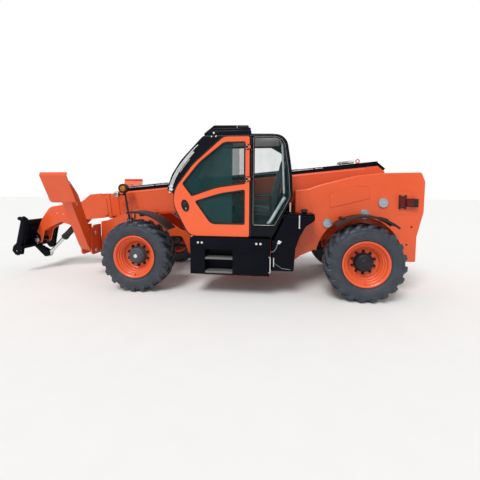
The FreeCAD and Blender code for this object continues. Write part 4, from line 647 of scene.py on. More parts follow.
# %% A whole tyre
def tyre_shape():
    """Two bars copied round the axle, and the carcass spun inside them."""
    mesh = bmesh.new()
    tread_bar(mesh, 0, 1)
    tread_bar(mesh, BAR_STEP / 2, -1)
    bmesh.ops.spin(mesh, geom=mesh.verts[:] + mesh.edges[:] + mesh.faces[:], cent=(0, 0, 0), axis=(0, 1, 0),
                   dvec=(0, 0, 0), angle=math.radians(360 - BAR_STEP), steps=BAR_COUNT - 1, use_duplicate=True)
    rows = [(-out * MM, radius * MM) for out, radius in SIDEWALL]
    rows += [(out * MM, radius * MM) for out, radius in reversed(SIDEWALL[:-1])]
    turned(mesh, rows, Vector((0, 0, 0)), steps=144)
    bmesh.ops.recalc_face_normals(mesh, faces=mesh.faces)
    made = bpy.data.meshes.new("tyre_shape")
    mesh.to_mesh(made)
    mesh.free()
    return made


TYRE_SHAPE = tyre_shape()
print("one tyre:", len(TYRE_SHAPE.vertices), "points", len(TYRE_SHAPE.polygons), "faces")


def tyre(name, centre, side, body, node):
    mesh = bmesh.new()
    mesh.from_mesh(TYRE_SHAPE)
    bmesh.ops.scale(mesh, vec=(1, side, 1), verts=mesh.verts)
    bmesh.ops.translate(mesh, vec=centre, verts=mesh.verts)
    made = piece(name, mesh, body, "tyre", tyre_rubber(name, centre), corner=40)
    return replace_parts(made, node)


# %% [markdown]
# ## Tyre rubber
# New tyre rubber is a deep blue grey with a soft sheen, lighter where the mould left a skin
# and dusty on the tread, with a painted sheen where it faces up. The sidewall has fine rings
# round the axle, so the finish measures the distance from its own wheel's centre and makes
# rings from that number.


# %% Rubber with rings
def tyre_rubber(name, centre):
    paint = Paint(name + "_rubber")
    moved = paint.node("Mapping", {}, {"Vector": paint.place, "Location": tuple(-value for value in centre)}, 0)
    flat = paint.node("VectorMath", {"operation": "MULTIPLY"}, {0: moved, 1: (1, 0, 1)}, 0)
    radius = paint.node("VectorMath", {"operation": "LENGTH"}, {0: flat}, "Value")
    rings = paint.node("Math", {"operation": "SINE"}, {0: radius * 1200.0})
    side = 1 - paint.span(radius, 0.485, 0.50)
    worn = paint.span(radius, 0.555, 0.58)
    cloud = paint.span(paint.noise(7.0, 6.0, 0.65), 0.3, 0.75)
    # Dust, and painted sheen on upward faces, mostly on the tread.
    dust_and_sheen = dust_and_sheen_film(paint, 0.34) * (0.45 + worn * 0.55)
    tone = paint.mix(cloud, (0.018, 0.024, 0.036), (0.034, 0.043, 0.060))
    tone = paint.mix(worn * 0.5, tone, (0.048, 0.056, 0.070))
    fine = paint.noise(340.0, 3.0)
    height = fine * 0.35 + rings * side * 0.5
    paint.set(Base_Color=paint.mix(dust_and_sheen, tone, (0.18, 0.185, 0.190)), Roughness=0.46 + cloud * 0.12 + dust_and_sheen * 0.4,
              Normal=paint.bump(height, 0.0012, 0.5))
    return paint.material


# %% [markdown]
# ## Rims, hubs and nuts
# The wheel is a deep steel dish: an outer flange that holds the tyre's bead, then a well
# that steps inwards in three rolled ridges, and a flat disc bolted to the hub. The dish is
# one spun profile, which gives the ridges their round highlights. The planetary hub comes
# through its middle, black, with a bolted cover, and ten nuts stand round it.

# %% Wheel sizes
# Columns: out from the wheel's middle, radius
RIM_ROWS = [(150, 306), (176, 310), (182, 322), (183, 340), (188, 342.5), (193, 340), (195, 334), (193, 326),
            (184, 312), (172, 301), (152, 298), (144, 294), (139, 285), (136, 278), (121, 275), (113, 271), (108, 262),
            (105, 254), (88, 251), (78, 246), (72, 238), (66, 231), (44, 228), (30, 222), (20, 210), (14, 196), (10, 180),
            (10, 112)]
HUB_ROWS = [(8, 145), (34, 145), (40, 140), (50, 131), (92, 127), (98, 124), (104, 118), (106, 108), (117, 106),
            (120, 101), (121, 62), (126, 58), (129, 50), (129, 0)]
STUD_RADIUS = 167.5
DISC_FACE = 10

# %% Wheels
hub_black = moulded("hub_black", (0.008, 0.009, 0.012), (0.016, 0.018, 0.022), 0.34, 120.0, 0.0008, 0.06)
hub_grey = moulded("hub_grey", (0.050, 0.060, 0.078), (0.075, 0.088, 0.108), 0.38, 120.0, 0.0008, 0.06)


def wheel(end, side):
    out = 1 if side == "left" else -1
    body = f"wheel_{end}_{side}"
    low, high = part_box(f"tyre_{end}_{side}")
    centre = (low + high) / 2
    label = f"{end}_{side}"
    tyre(f"tread_tyre_{label}", centre, out, body, f"tyre_{label}")
    facing = Vector((0, out, 0))
    mesh = bmesh.new()
    turned(mesh, [(across * MM, radius * MM) for across, radius in RIM_ROWS], centre, 96, facing)
    back = [(10, 112), (-8, 112), (-8, 200), (0, 270), (-150, 285), (-172, 301), (-184, 312), (-193, 326), (-195, 334),
            (-193, 340), (-183, 340), (-182, 322), (-176, 310), (150, 306)]
    turned(mesh, [(across * MM, radius * MM) for across, radius in back], centre, 96, facing)
    foot = centre + facing * 0.176 + Vector((0, 0, -0.290))
    valve = Vector((0.020, out * 0.012, 0.012)).normalized()
    bar(mesh, foot - facing * 0.03, foot + facing * 0.012, 0.011, 0.008, sides=16, edge=0.002)
    rim = piece(f"wheel_dish_{label}", mesh, body, "orange", orange, corner=50)
    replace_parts(rim, f"rim_{label}")
    mesh = bmesh.new()
    turned(mesh, [(across * MM, radius * MM) for across, radius in HUB_ROWS], centre, 72, facing)
    ring_count = 12
    for index in range(ring_count):
        angle = math.tau * (index + 0.5) / ring_count
        spoke = Vector((math.cos(angle), 0, math.sin(angle)))
        hexagon(mesh, centre + spoke * 0.084 + facing * 0.120, facing, 0.009, 0.010, washer=0)
    for index in range(24):
        angle = math.tau * index / 24
        spoke = Vector((math.cos(angle), 0, math.sin(angle)))
        plate(mesh, centre + spoke * 0.126 + facing * 0.055 + Vector((-0.004, -0.012, -0.004)),
              centre + spoke * 0.126 + facing * 0.085 + Vector((0.004, 0.012, 0.004)), 0.002, 1)
    piece(f"hub_{label}", mesh, body, "black", hub_grey if end == "front" else hub_black, corner=40)
    mesh = bmesh.new()
    for index in range(10):
        angle = math.tau * (index + 0.5) / 10
        spoke = Vector((math.cos(angle), 0, math.sin(angle)))
        foot = centre + spoke * STUD_RADIUS * MM + facing * (DISC_FACE - 2) * MM
        bar(mesh, foot, foot + facing * 0.008, 0.025, 0.022, sides=24, edge=0.002)
        hexagon(mesh, foot + facing * 0.005, facing, 0.0185, 0.026, washer=0)
        bar(mesh, foot + facing * 0.02, foot + facing * 0.052, 0.0105, sides=16, edge=0.002)
    piece(f"nuts_{label}", mesh, body, "black", hub_black, corner=40)
    mesh = bmesh.new()
    cap = [(129, 30), (132, 30), (135, 27), (136, 20), (134, 6), (134, 0)]
    turned(mesh, [(across * MM, radius * MM) for across, radius in cap], centre, 32, facing)
    piece(f"hub_plug_{label}", mesh, body, "chrome", bright_zinc if end == "front" else hub_black)


for end in ("front", "rear"):
    for side in ("left", "right"):
        wheel(end, side)
bpy.data.meshes.remove(TYRE_SHAPE)

# %% [markdown]
# ## Door, seals and gaskets
# Glass never touches steel: a black rubber strip is pushed over the edge of the sheet and
# the pane is pressed into it. One closed ring does all of them. The window's own outline is
# drawn again with its round corners, grown a little, inset, and the ring between the two is
# pushed out and rounded. That keeps an even width even where the outline bends.

# %% Rings of rubber
DOOR_ROWS = [(1705, 943, 25), (1705, 2437, 25), (2090, 2437, 160), (2560, 2035, 900), (2944, 1546, 390),
             (2629, 943, 190)]
UPPER_ROWS = [(1770, 1742, 20), (1770, 2360, 20), (2085, 2360, 140), (2470, 2062, 700), (2735, 1742, 25),
              (2590, 1552, 25), (2200, 1685, 900)]
LOWER_ROWS = [(1775, 1130, 20), (1775, 1652, 20), (2150, 1595, 1200), (2540, 1475, 25), (2290, 1130, 130)]
QUARTER_ROWS = [(1330, 1130, 25), (1112, 1545, 40), (1138, 1930, 2500), (1215, 2425, 150), (1640, 2425, 20),
                (1640, 1130, 20)]
RIGHT_ROWS = [(1400, 1300, 60), (1150, 1700, 60), (1210, 2290, 60), (1400, 2400, 60), (2280, 2400, 60),
              (2560, 2180, 200), (2820, 1760, 60), (2700, 1500, 60), (2500, 1400, 60)]
LEFT = Vector((0, 1, 0))


def on_side(out):
    """Places on a plane that faces left, at a distance out from the machine's middle."""
    return lambda ahead, up: at(ahead, out, up)


# Columns: name, outline, plane, inward and outward width, thickness, rounding, body, slot, finish
RINGS = [
    ("seal_upper", UPPER_ROWS, 1153, 17, 5, 21, 4, "door", "plastic", gasket_rubber),
    ("seal_lower", LOWER_ROWS, 1153, 17, 5, 21, 4, "door", "plastic", gasket_rubber),
    ("door_frame_rim", DOOR_ROWS, 1128, -5, 19, 24, 7, "chassis", "black", cab_black),
    # A thin grey ring outside the black rim: a painted highlight along the door's frame.
    ("door_frame_line", DOOR_ROWS, 1128, -19, 24, 19, 2, "chassis", "steel", trim_plastic),
    ("quarter_seal", QUARTER_ROWS, 1121, 10, 8, 13, 3, "chassis", "plastic", gasket_rubber),
    # A thin bright ring round the quarter glass: a painted reflection line.
    ("quarter_line", QUARTER_ROWS, 1126, -9, 13, 9, 2, "chassis", "steel", bright_zinc),
    ("quarter_rim", QUARTER_ROWS, 1124, -14, 32, 18, 7, "chassis", "black", cab_black),
    ("right_seal", RIGHT_ROWS, 262, 10, 12, 16, 3, "chassis", "plastic", gasket_rubber),
]
for name, rows, plane, width, lap, thick, edge, body, slot_name, paint in RINGS:
    mesh = band(rows, on_side(plane), width * MM, LEFT, thick * MM, edge * MM, lap=lap * MM)
    piece(name, mesh, body, slot_name, paint)
print("rings:", len(RINGS))

# %% [markdown]
# ## The door's handle, hinges and catch
# The handle is an oval dish of black plastic let into the door, with a flap to pull and a
# small lock under it. A disc stretched to an oval is quicker than drawing one, and its
# lean follows the door's front edge.

# %% Handle and hinges
HANDLE = at(2692, 1169, 1405)
LEAN = Matrix.Rotation(math.radians(17), 4, "Y")
OVAL = Matrix.Translation(HANDLE) @ LEAN @ Matrix.Diagonal((0.62, 1, 1, 1))
mesh = bmesh.new()
turned(mesh, [(0.0, 0.094), (0.008, 0.094), (0.013, 0.089), (0.013, 0.079), (0.004, 0.068), (0.003, 0.001)],
       Vector(), 48)
ball(mesh, Vector((0, 0.004, 0.022)), 0.056, (0.9, 0.22, 0.62), tone=1)
bar(mesh, Vector((0, 0.002, -0.045)), Vector((0, 0.011, -0.045)), 0.015, sides=24, edge=0.001, tone=2)
plate(mesh, Vector((-0.0015, 0.0105, -0.054)), Vector((0.0015, 0.0116, -0.036)), 0.0003, 1)
bmesh.ops.transform(mesh, matrix=OVAL, verts=mesh.verts)
piece("door_handle", mesh, "door", "plastic", gasket_rubber, plastic, pin_silver)

mesh = bmesh.new()
for height in (1810, 2280):
    plate(mesh, at(1712, 1169, height - 42), at(1762, 1174, height + 42), 0.002, 2)
    for up in (-26, 26):
        hexagon(mesh, at(1744, 1174, height + up), LEFT, 0.007, 0.006, tone=1)
piece("door_hinge_plates", mesh, "door", "black", black, zinc)

mesh = bmesh.new()
for height in (1810, 2280):
    plate(mesh, at(1652, 1131, height - 48), at(1690, 1137, height + 48), 0.002, 2)
    for up in (-30, 30):
        hexagon(mesh, at(1670, 1137, height + up), LEFT, 0.007, 0.006, tone=1)
piece("post_hinge_plates", mesh, "chassis", "black", black, zinc)

# %% [markdown]
# ## Roof, wiper and windscreen foot
# The roof box is bolted at its front corners, and a thin bright strip marks its drip rail.
# At the windscreen's foot sit the wiper's bright fittings; its two arms run up the curve of
# the screen. The curve is the CAD outline again, moved outwards by the arm's own height.

# %% Roof and wiper
mesh = bmesh.new()
for ahead, up in ((2252, 2500), (2285, 2448), (2218, 2448)):
    hexagon(mesh, at(ahead, 1121, up), LEFT, 0.011, 0.012)
for ahead, side in ((1800, 1), (2200, 1), (1800, -1), (2200, -1)):
    out = 700 + side * 323
    hexagon(mesh, at(ahead, out, 2560), Vector((0, side, 0)), 0.011, 0.01)
piece("roof_bolts", mesh, "chassis", "steel", bright_zinc)

mesh = bmesh.new()
plate(mesh, at(1690, 1016, 2470), at(2340, 1112, 2540), 0.012, 3)
plate(mesh, at(1700, 1016, 2520), at(2300, 1062, 2585), 0.010, 3)
for row in range(3):
    plate(mesh, at(1725, 1018, 2556 + row * 24), at(1885, 1026, 2566 + row * 24), 0.003, 2, tone=1)
piece("roof_edge", mesh, "chassis", "black", cab_black, trim_plastic)

mesh = bmesh.new()
plate(mesh, at(1906, 1018, 2500), at(1914, 1027, 2632), 0.001, 1)
piece("roof_strip", mesh, "chassis", "steel", bright_zinc)

SCREEN = [(2935, 1690), (2880, 1812), (2815, 1925), (2742, 2030), (2664, 2125), (2580, 2212), (2500, 2285)]
mesh = bmesh.new()
for out, reach in ((1010, 7), (985, 6), (720, 4)):
    points = [at(ahead + 34, out, up + 22) for ahead, up in SCREEN[:reach]]
    for start, end in zip(points, points[1:]):
        bar(mesh, start, end, 0.008, sides=12)
        ball(mesh, end, 0.008)
for out in (720, 1000):
    plate(mesh, at(2948, out - 30, 1640), at(3000, out + 30, 1700), 0.006, 2)
    bar(mesh, at(2960, out, 1650), at(3014, out, 1690), 0.022, sides=20, edge=0.003)
for out in (880, 1060):
    plate(mesh, at(2956, out - 12, 1600), at(2990, out + 12, 1668), 0.003, 2)
piece("wiper_arms", mesh, "chassis", "chrome", bright_zinc)
mesh = bmesh.new()
for out in (1036, 760):
    points = [at(ahead + 18, out, up + 12) for ahead, up in SCREEN[1:6]]
    for start, end in zip(points, points[1:]):
        bar(mesh, start, end, 0.007, sides=8)
piece("wiper_blades", mesh, "chassis", "plastic", gasket_rubber)

# %% [markdown]
# The screen is bonded to its posts under a bright trim. From the side it shows as a pale
# strip of glass edge with two slim mouldings that follow the post down to its foot.

# %% Trim along the windscreen post
POST = [(2498, 2332), (2590, 2246), (2680, 2150), (2762, 2052), (2832, 1955), (2892, 1850), (2936, 1748), (2958, 1650)]


def post_line(inward, first, last):
    """Places on the post's outer side, drawn in from its front edge."""
    return [at(ahead - inward * 0.8, 1133, up - inward * 0.55) for ahead, up in POST[first:last]]


mesh = bmesh.new()
for inward, first, last, thick in ((6, 0, 8, 0.009), (46, 1, 8, 0.006), (66, 2, 5, 0.005)):
    bead(mesh, post_line(inward, first, last), thick, sides=10)
for up in (1648, 1700):
    plate(mesh, at(2896, 1128, up - 12), at(2962, 1140, up + 12), 0.004, 2)
piece("screen_trim", mesh, "chassis", "steel", bright_zinc)
mesh = bmesh.new()
near, far = post_line(10, 1, 8), post_line(44, 1, 8)
face = mesh.faces.new([mesh.verts.new(point) for point in near + far[::-1]])
made = bmesh.ops.extrude_face_region(mesh, geom=[face])["geom"]
bmesh.ops.translate(mesh, vec=LEFT * 0.003, verts=[part for part in made if isinstance(part, bmesh.types.BMVert)])
piece("screen_edge", mesh, "chassis", "glass", screen_edge)

# %% [markdown]
# ## The operator's seat
# The seat is foam under cloth: round all over, pulled in along its seams, and a little sunk
# where one sits. Each pad starts as a box. Its upper side is inset three times, which leaves
# a groove for the seam and a raised middle panel. A subdivision modifier then rounds it like
# foam, and a fine weave in the bump makes it cloth.

# %% Cloth and pads
cloth = Paint("seat_cloth")
weave_a = cloth.node("TexWave", {"wave_type": "BANDS", "bands_direction": "Y"},
                     {"Vector": cloth.place, "Scale": 260.0, "Distortion": 1.0}, "Fac")
weave_b = cloth.node("TexWave", {"wave_type": "BANDS", "bands_direction": "Z"},
                     {"Vector": cloth.place, "Scale": 260.0, "Distortion": 1.0}, "Fac")
worn = cloth.span(cloth.noise(6.0, 5.0), 0.3, 0.75)
creases = cloth.bump(cloth.noise(9.0, 3.0), 0.006, 0.5)
cloth.set(Base_Color=cloth.mix(worn, (0.012, 0.016, 0.020), (0.026, 0.032, 0.038)),
          Roughness=0.82 + weave_a * weave_b * 0.12, Sheen_Weight=0.25,
          Normal=cloth.bump(weave_a * weave_b, 0.0008, 0.6, creases))
seat_cloth = cloth.material


def pad(name, low, high, turn, seams=(48, 7, 7), sunk=0.012):
    """A stuffed pad whose soft side is its local top, turned about its middle afterwards."""
    mesh = bmesh.new()
    size = high - low
    bmesh.ops.create_cube(mesh, size=1, matrix=Matrix.Diagonal((*size, 1)))
    rounded(mesh, list(mesh.edges), 0.028, 2)
    face = max(mesh.faces, key=lambda one: one.calc_center_median().z)
    for width, depth in ((seams[0], 0), (seams[1], -9), (seams[2], 10)):
        bmesh.ops.inset_region(mesh, faces=[face], thickness=width * MM, depth=depth * MM, use_even_offset=True)
    halves = bmesh.ops.inset_region(mesh, faces=[face], thickness=size.y * 0.12)["faces"]
    middle = bmesh.ops.subdivide_edges(mesh, edges=list({edge for one in halves for edge in one.edges}), cuts=1,
                                       use_grid_fill=True)
    for vert in mesh.verts:
        reach = max(0.0, 1 - (2 * vert.co.x / size.x) ** 2) * max(0.0, 1 - (2 * vert.co.y / size.y) ** 2)
        if vert.co.z > 0:
            vert.co.z += (0.022 - sunk) * reach
    bmesh.ops.transform(mesh, matrix=Matrix.Translation((low + high) / 2) @ turn, verts=mesh.verts)
    made = piece(name, mesh, "chassis", "seat", seat_cloth, corner=180)
    soft = made.modifiers.new("foam", "SUBSURF")
    soft.levels = 2
    soft.render_levels = 2
    return made


RECLINE = Matrix.Rotation(math.radians(-103.6), 4, "Y") @ Matrix.Rotation(math.pi, 4, "Z")
cushion = pad("seat_cushion", at(1335, 470, 1268), at(1850, 930, 1392), Matrix.Rotation(math.radians(-3), 4, "Y"),
              sunk=0.02)
BACK = at(1318, 700, 1655)
back = pad("seat_back", BACK - Vector((0.31, 0.21, 0.05)), BACK + Vector((0.31, 0.21, 0.05)),
           RECLINE)
HEAD = at(1215, 700, 2035)
headrest = pad("seat_headrest", HEAD - Vector((0.085, 0.13, 0.042)), HEAD + Vector((0.085, 0.13, 0.042)),
               RECLINE, seams=(22, 4, 4))
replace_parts(cushion, "seat")

mesh = bmesh.new()
for side in (-1, 1):
    bar(mesh, at(1232, 700 + side * 60, 1940), at(1218, 700 + side * 60, 2000), 0.006, sides=10)
piece("headrest_posts", mesh, "chassis", "chrome", chrome)
mesh = bmesh.new()
turn = Matrix.Rotation(math.radians(-13.6), 4, "Y")
plate(mesh, BACK + Vector((-0.075, -0.2, -0.29)), BACK + Vector((-0.045, 0.2, 0.29)), 0.012, 3, turn)
plate(mesh, at(1330, 480, 1238), at(1846, 920, 1272), 0.012, 2)
for side in (-1, 1):
    plate(mesh, at(1375, 700 + side * 262 - 26, 1540), at(1650, 700 + side * 262 + 26, 1580), 0.018, 3)
    bar(mesh, at(1395, 700 + side * 262, 1330), at(1395, 700 + side * 262, 1550), 0.016, sides=14)
for level in range(6):
    grow = 0.006 if level % 2 else 0.0
    low = at(1376, 526, 1010 + level * 37)
    plate(mesh, low - Vector((grow, grow, 0)), at(1704, 874, 1042 + level * 37) + Vector((grow, grow, 0)), 0.01, 2)
piece("seat_frame", mesh, "chassis", "plastic", plastic)

# %% [markdown]
# ## Round the operator
# Through the tinted glass one sees shapes more than detail: a console with a joystick, the
# dash with its screen, pedals on a ribbed mat, and the grey lining of roof and walls. The roof
# lining is made pale as painted light: it stands for the daylight of the far windows.

# %% Console, dash and floor
# Painted light: the roof lining is pale so that it shows the brightness of the far windows.
pale_lining_painted_light = moulded("pale_lining_painted_light", (0.55, 0.58, 0.58), (0.70, 0.73, 0.73), 0.8, 200.0, 0.0006, 0.0)

mesh = bmesh.new()
plate(mesh, at(1420, 322, 985), at(2020, 425, 1480), 0.02, 3)
plate(mesh, at(1980, 322, 985), at(2300, 425, 1230), 0.02, 3)
bar(mesh, at(1930, 374, 1478), at(1940, 374, 1500), 0.036, 0.024, sides=24)
bar(mesh, at(1940, 374, 1500), at(1946, 374, 1560), 0.01, sides=12)
bar(mesh, at(1944, 374, 1555), at(1966, 374, 1648), 0.019, 0.024, sides=20, edge=0.008)
for place in (1560, 1640, 1720):
    plate(mesh, at(place - 26, 340, 1478), at(place + 26, 408, 1486), 0.003, 2, tone=1)
piece("console", mesh, "chassis", "plastic", trim_plastic, plastic)

mesh = bmesh.new()
tilt = Matrix.Rotation(math.radians(-32), 4, "Y")
plate(mesh, at(2610, 590, 1668), at(2660, 810, 1780), 0.012, 3, tilt)
plate(mesh, at(2604, 606, 1682), at(2634, 794, 1768), 0.003, 2, tilt, tone=1)
for side in (-1, 1):
    bar(mesh, at(2560, 700 + side * 55, 1640), at(2520, 700 + side * 190, 1700), 0.008, 0.006, sides=12)
    ball(mesh, at(2520, 700 + side * 190, 1700), 0.015)
piece("dash_screen", mesh, "chassis", "plastic", plastic, gasket_rubber)

mesh = bmesh.new()
plate(mesh, at(1760, 330, 970), at(2560, 1070, 977), 0.003, 1)
for row in range(16):
    plate(mesh, at(1790, 345 + row * 46, 976), at(2400, 363 + row * 46, 981), 0.002, 1)
for out in (600, 800):
    plate(mesh, at(2395, out - 40, 1080), at(2410, out + 40, 1190), 0.006, 2, Matrix.Rotation(math.radians(-35), 4, "Y"))
    bar(mesh, at(2406, out, 1130), at(2500, out, 1105), 0.009, sides=12)
piece("floor_mat", mesh, "chassis", "plastic", gasket_rubber)

mesh = bmesh.new()
plate(mesh, at(1640, 1079, 985), at(1700, 1087, 2380), 0.01, 2)
plate(mesh, at(1180, 320, 1010), at(1192, 1080, 1600), 0.01, 2)
piece("cab_lining", mesh, "chassis", "plastic", trim_plastic)
mesh = bmesh.new()
plate(mesh, at(1240, 320, 2412), at(2330, 1080, 2428), 0.006, 2)
for place in (1500, 1840, 2180):
    bead(mesh, [at(place, 335, 2412), at(place, 1065, 2412)], 0.004, sides=8)
piece("roof_lining", mesh, "chassis", "plastic", pale_lining_painted_light)
mesh = bmesh.new()
bead(mesh, [at(1176, 1085, 1545), at(1398, 1085, 1165), at(1420, 1085, 1150)], 0.024, sides=16)
bead(mesh, [at(1190, 1075, 1600), at(1225, 1075, 2330)], 0.016, sides=16)
piece("grab_rail", mesh, "chassis", "plastic", screen_edge)
print("inside of the cab: seat, console, dash and floor")

# %% [markdown]
# ## Pins, pressings and the tail lamp
# The rear side bodies are sheet with a few pressed lines that stiffen them. Three round caps
# cover the pins of the boom and its cylinders; each is a turned steel disc held by two
# screws. The lamp is a red lens in a black holder. All of it exists on both sides, so one
# loop builds a side and mirrors its numbers.

# %% Round caps, pressed lines and screws
PIN_PLACES = [(490, 1130), (-70, 1280), (-340, 1460)]
CAP_ROWS = [(-0.010, 0.0725), (0.005, 0.0725), (0.008, 0.0700), (0.008, 0.0600), (0.0055, 0.0580), (0.0055, 0.0005)]
LAMP_FRAME = [(-528, 1280, 40), (-528, 1655, 55), (-770, 1655, 55), (-770, 1280, 40)]
PANEL_FRAME = [(475, 1612, 30), (62, 1726, 30), (-138, 1716, 30), (-152, 1520, 30), (468, 1362, 30)]
SEAM = [(795, 1655), (800, 1520), (715, 1330)]


for name, side in (("left", 1), ("right", -1)):
    outward = LEFT * side
    mesh = bmesh.new()
    for ahead, up in PIN_PLACES:
        turned(mesh, CAP_ROWS, at(ahead, side * 764, up), 56, outward)
        plate(mesh, at(ahead - 30, side * 769, up - 11), at(ahead + 30, side * 773, up + 11), 0.001, 1, tone=0)
        for across in (-19, 19):
            hexagon(mesh, at(ahead + across, side * 773, up), outward, 0.0075, 0.006, tone=1)
    piece(f"pin_caps_{name}", mesh, "chassis", "steel", pin_silver, zinc)

    mesh = bmesh.new()
    for rows, plane in ((LAMP_FRAME, 749), (PANEL_FRAME, 749)):
        corner_ring = band(rows, on_side(side * plane), 7 * MM, outward, 4 * MM, 1.8 * MM)
        data = bpy.data.meshes.new("ring")
        corner_ring.to_mesh(data)
        corner_ring.free()
        mesh.from_mesh(data)
        bpy.data.meshes.remove(data)
    bead(mesh, [at(ahead, side * 749.5, up) for ahead, up in SEAM], 0.0035)
    bead(mesh, [at(930, side * 749.5, 1640), at(925, side * 749.5, 760), at(840, side * 749.5, 700)], 0.0035)
    piece(f"pressed_lines_{name}", mesh, "chassis", "orange", orange)

    mesh = bmesh.new()
    plate(mesh, at(-578, side * 780, 1400), at(-662, side * 788, 1550), 0.004, 3)
    plate(mesh, at(-668, side * 803, 1412), at(-768, side * 810, 1523), 0.004, 3)
    for row in range(4):
        up = 1420 + row * 33
        plate(mesh, at(-584, side * 786, up), at(-656, side * 791, up + 24), 0.005, 2)
    piece(f"tail_lens_{name}", mesh, "chassis", "plastic", red_lens)

    mesh = bmesh.new()
    for ahead, up in ((-578, 1378), (-662, 1378), (-578, 1572), (-662, 1572)):
        bar(mesh, at(ahead, side * 752, up), at(ahead, side * 786, up), 0.011, sides=16, edge=0.002)
    for ahead, up in ((-772, 1092), (-712, 812)):
        turned(mesh, [(0.0, 0.015), (0.003, 0.014), (0.003, 0.009), (0.0008, 0.008), (0.0008, 0.0005)],
               at(ahead, side * 750, up), 24, outward)
    piece(f"lamp_rubbers_{name}", mesh, "chassis", "plastic", gasket_rubber)

# %% [markdown]
# ## The boom's own fittings
# On the boom's top a black channel shields the hoses, with steel pipes beside it. At its
# rear end sit a closing plate, a lifting eye and an aluminium case for papers. Near the
# front the slides are set by screws through the boom's wall, seen as rows of round heads.

# %% Places along the boom
SLOPE = math.radians(5.7)
PIVOT_AHEAD, PIVOT_UP = -340, 1460
BOOM_TOP = 605
UP = Vector((math.sin(SLOPE), 0, math.cos(SLOPE)))


def on_boom(along, out, up):
    """A place measured along the boom from its pivot, and square to it."""
    ahead = along * math.cos(SLOPE) + up * math.sin(SLOPE)
    rise = up * math.cos(SLOPE) - along * math.sin(SLOPE)
    return at(PIVOT_AHEAD + ahead, out, PIVOT_UP + rise)


BOOM_TILT = Matrix.Rotation(SLOPE, 4, "Y")


def boom_plate(mesh, along, out, up, radius=0.002, steps=2, tone=0):
    """A plate given by its spans along, across and up from the boom, tilted with it."""
    middle = on_boom(sum(along) / 2, sum(out) / 2, sum(up) / 2)
    half = Vector((along[1] - along[0], out[1] - out[0], up[1] - up[0])) * MM / 2
    plate(mesh, middle - half, middle + half, radius, steps, BOOM_TILT, tone)


# %% Pipes, guard, eye and case
mesh = bmesh.new()
bar(mesh, on_boom(760, 121, BOOM_TOP + 62), on_boom(4560, 121, BOOM_TOP + 62), 0.008, sides=14)
bar(mesh, on_boom(1200, 108, BOOM_TOP + 91), on_boom(4520, 108, BOOM_TOP + 91), 0.006, sides=14)
piece("rail_pipes", mesh, "boom", "steel", pin_silver)

mesh = bmesh.new()
for along in range(900, 4500, 600):
    boom_plate(mesh, (along, along + 34), (112, 134), (BOOM_TOP + 48, BOOM_TOP + 76), 0.004)
piece("rail_clips", mesh, "boom", "plastic", plastic)

mesh = bmesh.new()
low, high = on_boom(-236, 0, 508), on_boom(-124, 0, 622)
middle = (low + high) / 2 + Vector((-0.006, 0, 0.010))
reach = (high - low).length / 2
lean = Matrix.Rotation(-math.atan2(high.z - low.z, high.x - low.x), 4, "Y")
plate(mesh, middle - Vector((reach + 0.012, 0.172, 0.006)), middle + Vector((reach + 0.012, 0.172, 0.046)), 0.006, 2, lean)
boom_plate(mesh, (-244, -232), (-162, 162), (110, 425), 0.003)
piece("boom_end_guard", mesh, "boom", "black", black)

mesh = bmesh.new()
for side in (-1, 1):
    turned(mesh, [(0.0, 0.085), (0.012, 0.085), (0.016, 0.080), (0.016, 0.0005)], on_boom(0, side * 186, 0), 48,
           LEFT * side)
piece("boom_pivot_covers", mesh, "boom", "steel", zinc)

mesh = bmesh.new()
EYE = on_boom(150, 70, BOOM_TOP + 122)
eye_rows = [(math.cos(turn) * 0.010, 0.030 + math.sin(turn) * 0.010)
            for turn in (math.tau * step / 12 for step in range(13))]
turned(mesh, eye_rows, EYE, 32, LEFT)
bar(mesh, EYE - UP * 0.040, EYE - UP * 0.028, 0.017, sides=20, edge=0.002)
piece("lifting_eye", mesh, "boom", "orange", orange)

mesh = bmesh.new()
CASE = [on_boom(along, 70, BOOM_TOP + 118) for along in (215, 232, 470, 520)]
bar(mesh, CASE[0], CASE[1], 0.018, 0.027, sides=28, edge=0.002)
bar(mesh, CASE[1], CASE[2], 0.027, sides=28)
bar(mesh, CASE[2], CASE[3], 0.027, 0.006, sides=28)
for along in (270, 430):
    boom_plate(mesh, (along, along + 14), (38, 102), (BOOM_TOP + 84, BOOM_TOP + 94), 0.002)
    boom_plate(mesh, (along, along + 14), (41, 99), (BOOM_TOP + 88, BOOM_TOP + 148), 0.02, 3)
piece("document_case", mesh, "boom", "steel", bright_zinc)

# %% Slide screws, end collars and weld lines
mesh = bmesh.new()
for side in (-1, 1):
    for along, up in ((4350, 470), (4480, 400), (4610, 500), (4430, 245), (4590, 245), (4290, 300)):
        place = on_boom(along, side * 169, up)
        turned(mesh, [(0.0, 0.024), (0.005, 0.024), (0.007, 0.021), (0.007, 0.012), (0.003, 0.011), (0.003, 0.0005)],
               place, 28, LEFT * side)
    for along in (4180, 4700):
        boom_plate(mesh, (along, along + 5), (side * 171, side * 169), (150, 560), 0.002)
for along in (4330, 4470, 4610):
    for out in (-90, 0, 90):
        hexagon(mesh, on_boom(along, out, BOOM_TOP - 1), UP, 0.016, 0.012)
piece("slide_screws", mesh, "boom", "orange", orange)

mesh = bmesh.new()
for side in (-1, 1):
    bead(mesh, [on_boom(330, side * 171, 112), on_boom(4690, side * 171, 112)], 0.004, sides=6)
    bead(mesh, [on_boom(330, side * 170, 560), on_boom(4690, side * 170, 560)], 0.003, sides=6)
piece("boom_welds", mesh, "boom", "orange", orange)
print("boom fittings stand at a slope of", round(math.degrees(SLOPE), 1), "degrees")

# %% [markdown]
# ## Step box and tank
# Under the cab hangs a box of folded black sheet with two steps let into it. Its front is
# closed by bolted panels, so thin plates with small gaps between them make the seams. The
# treads are galvanised and toothed for grip. Behind it the tank carries a sight tube, a
# filler cap and a breather with its pipe.

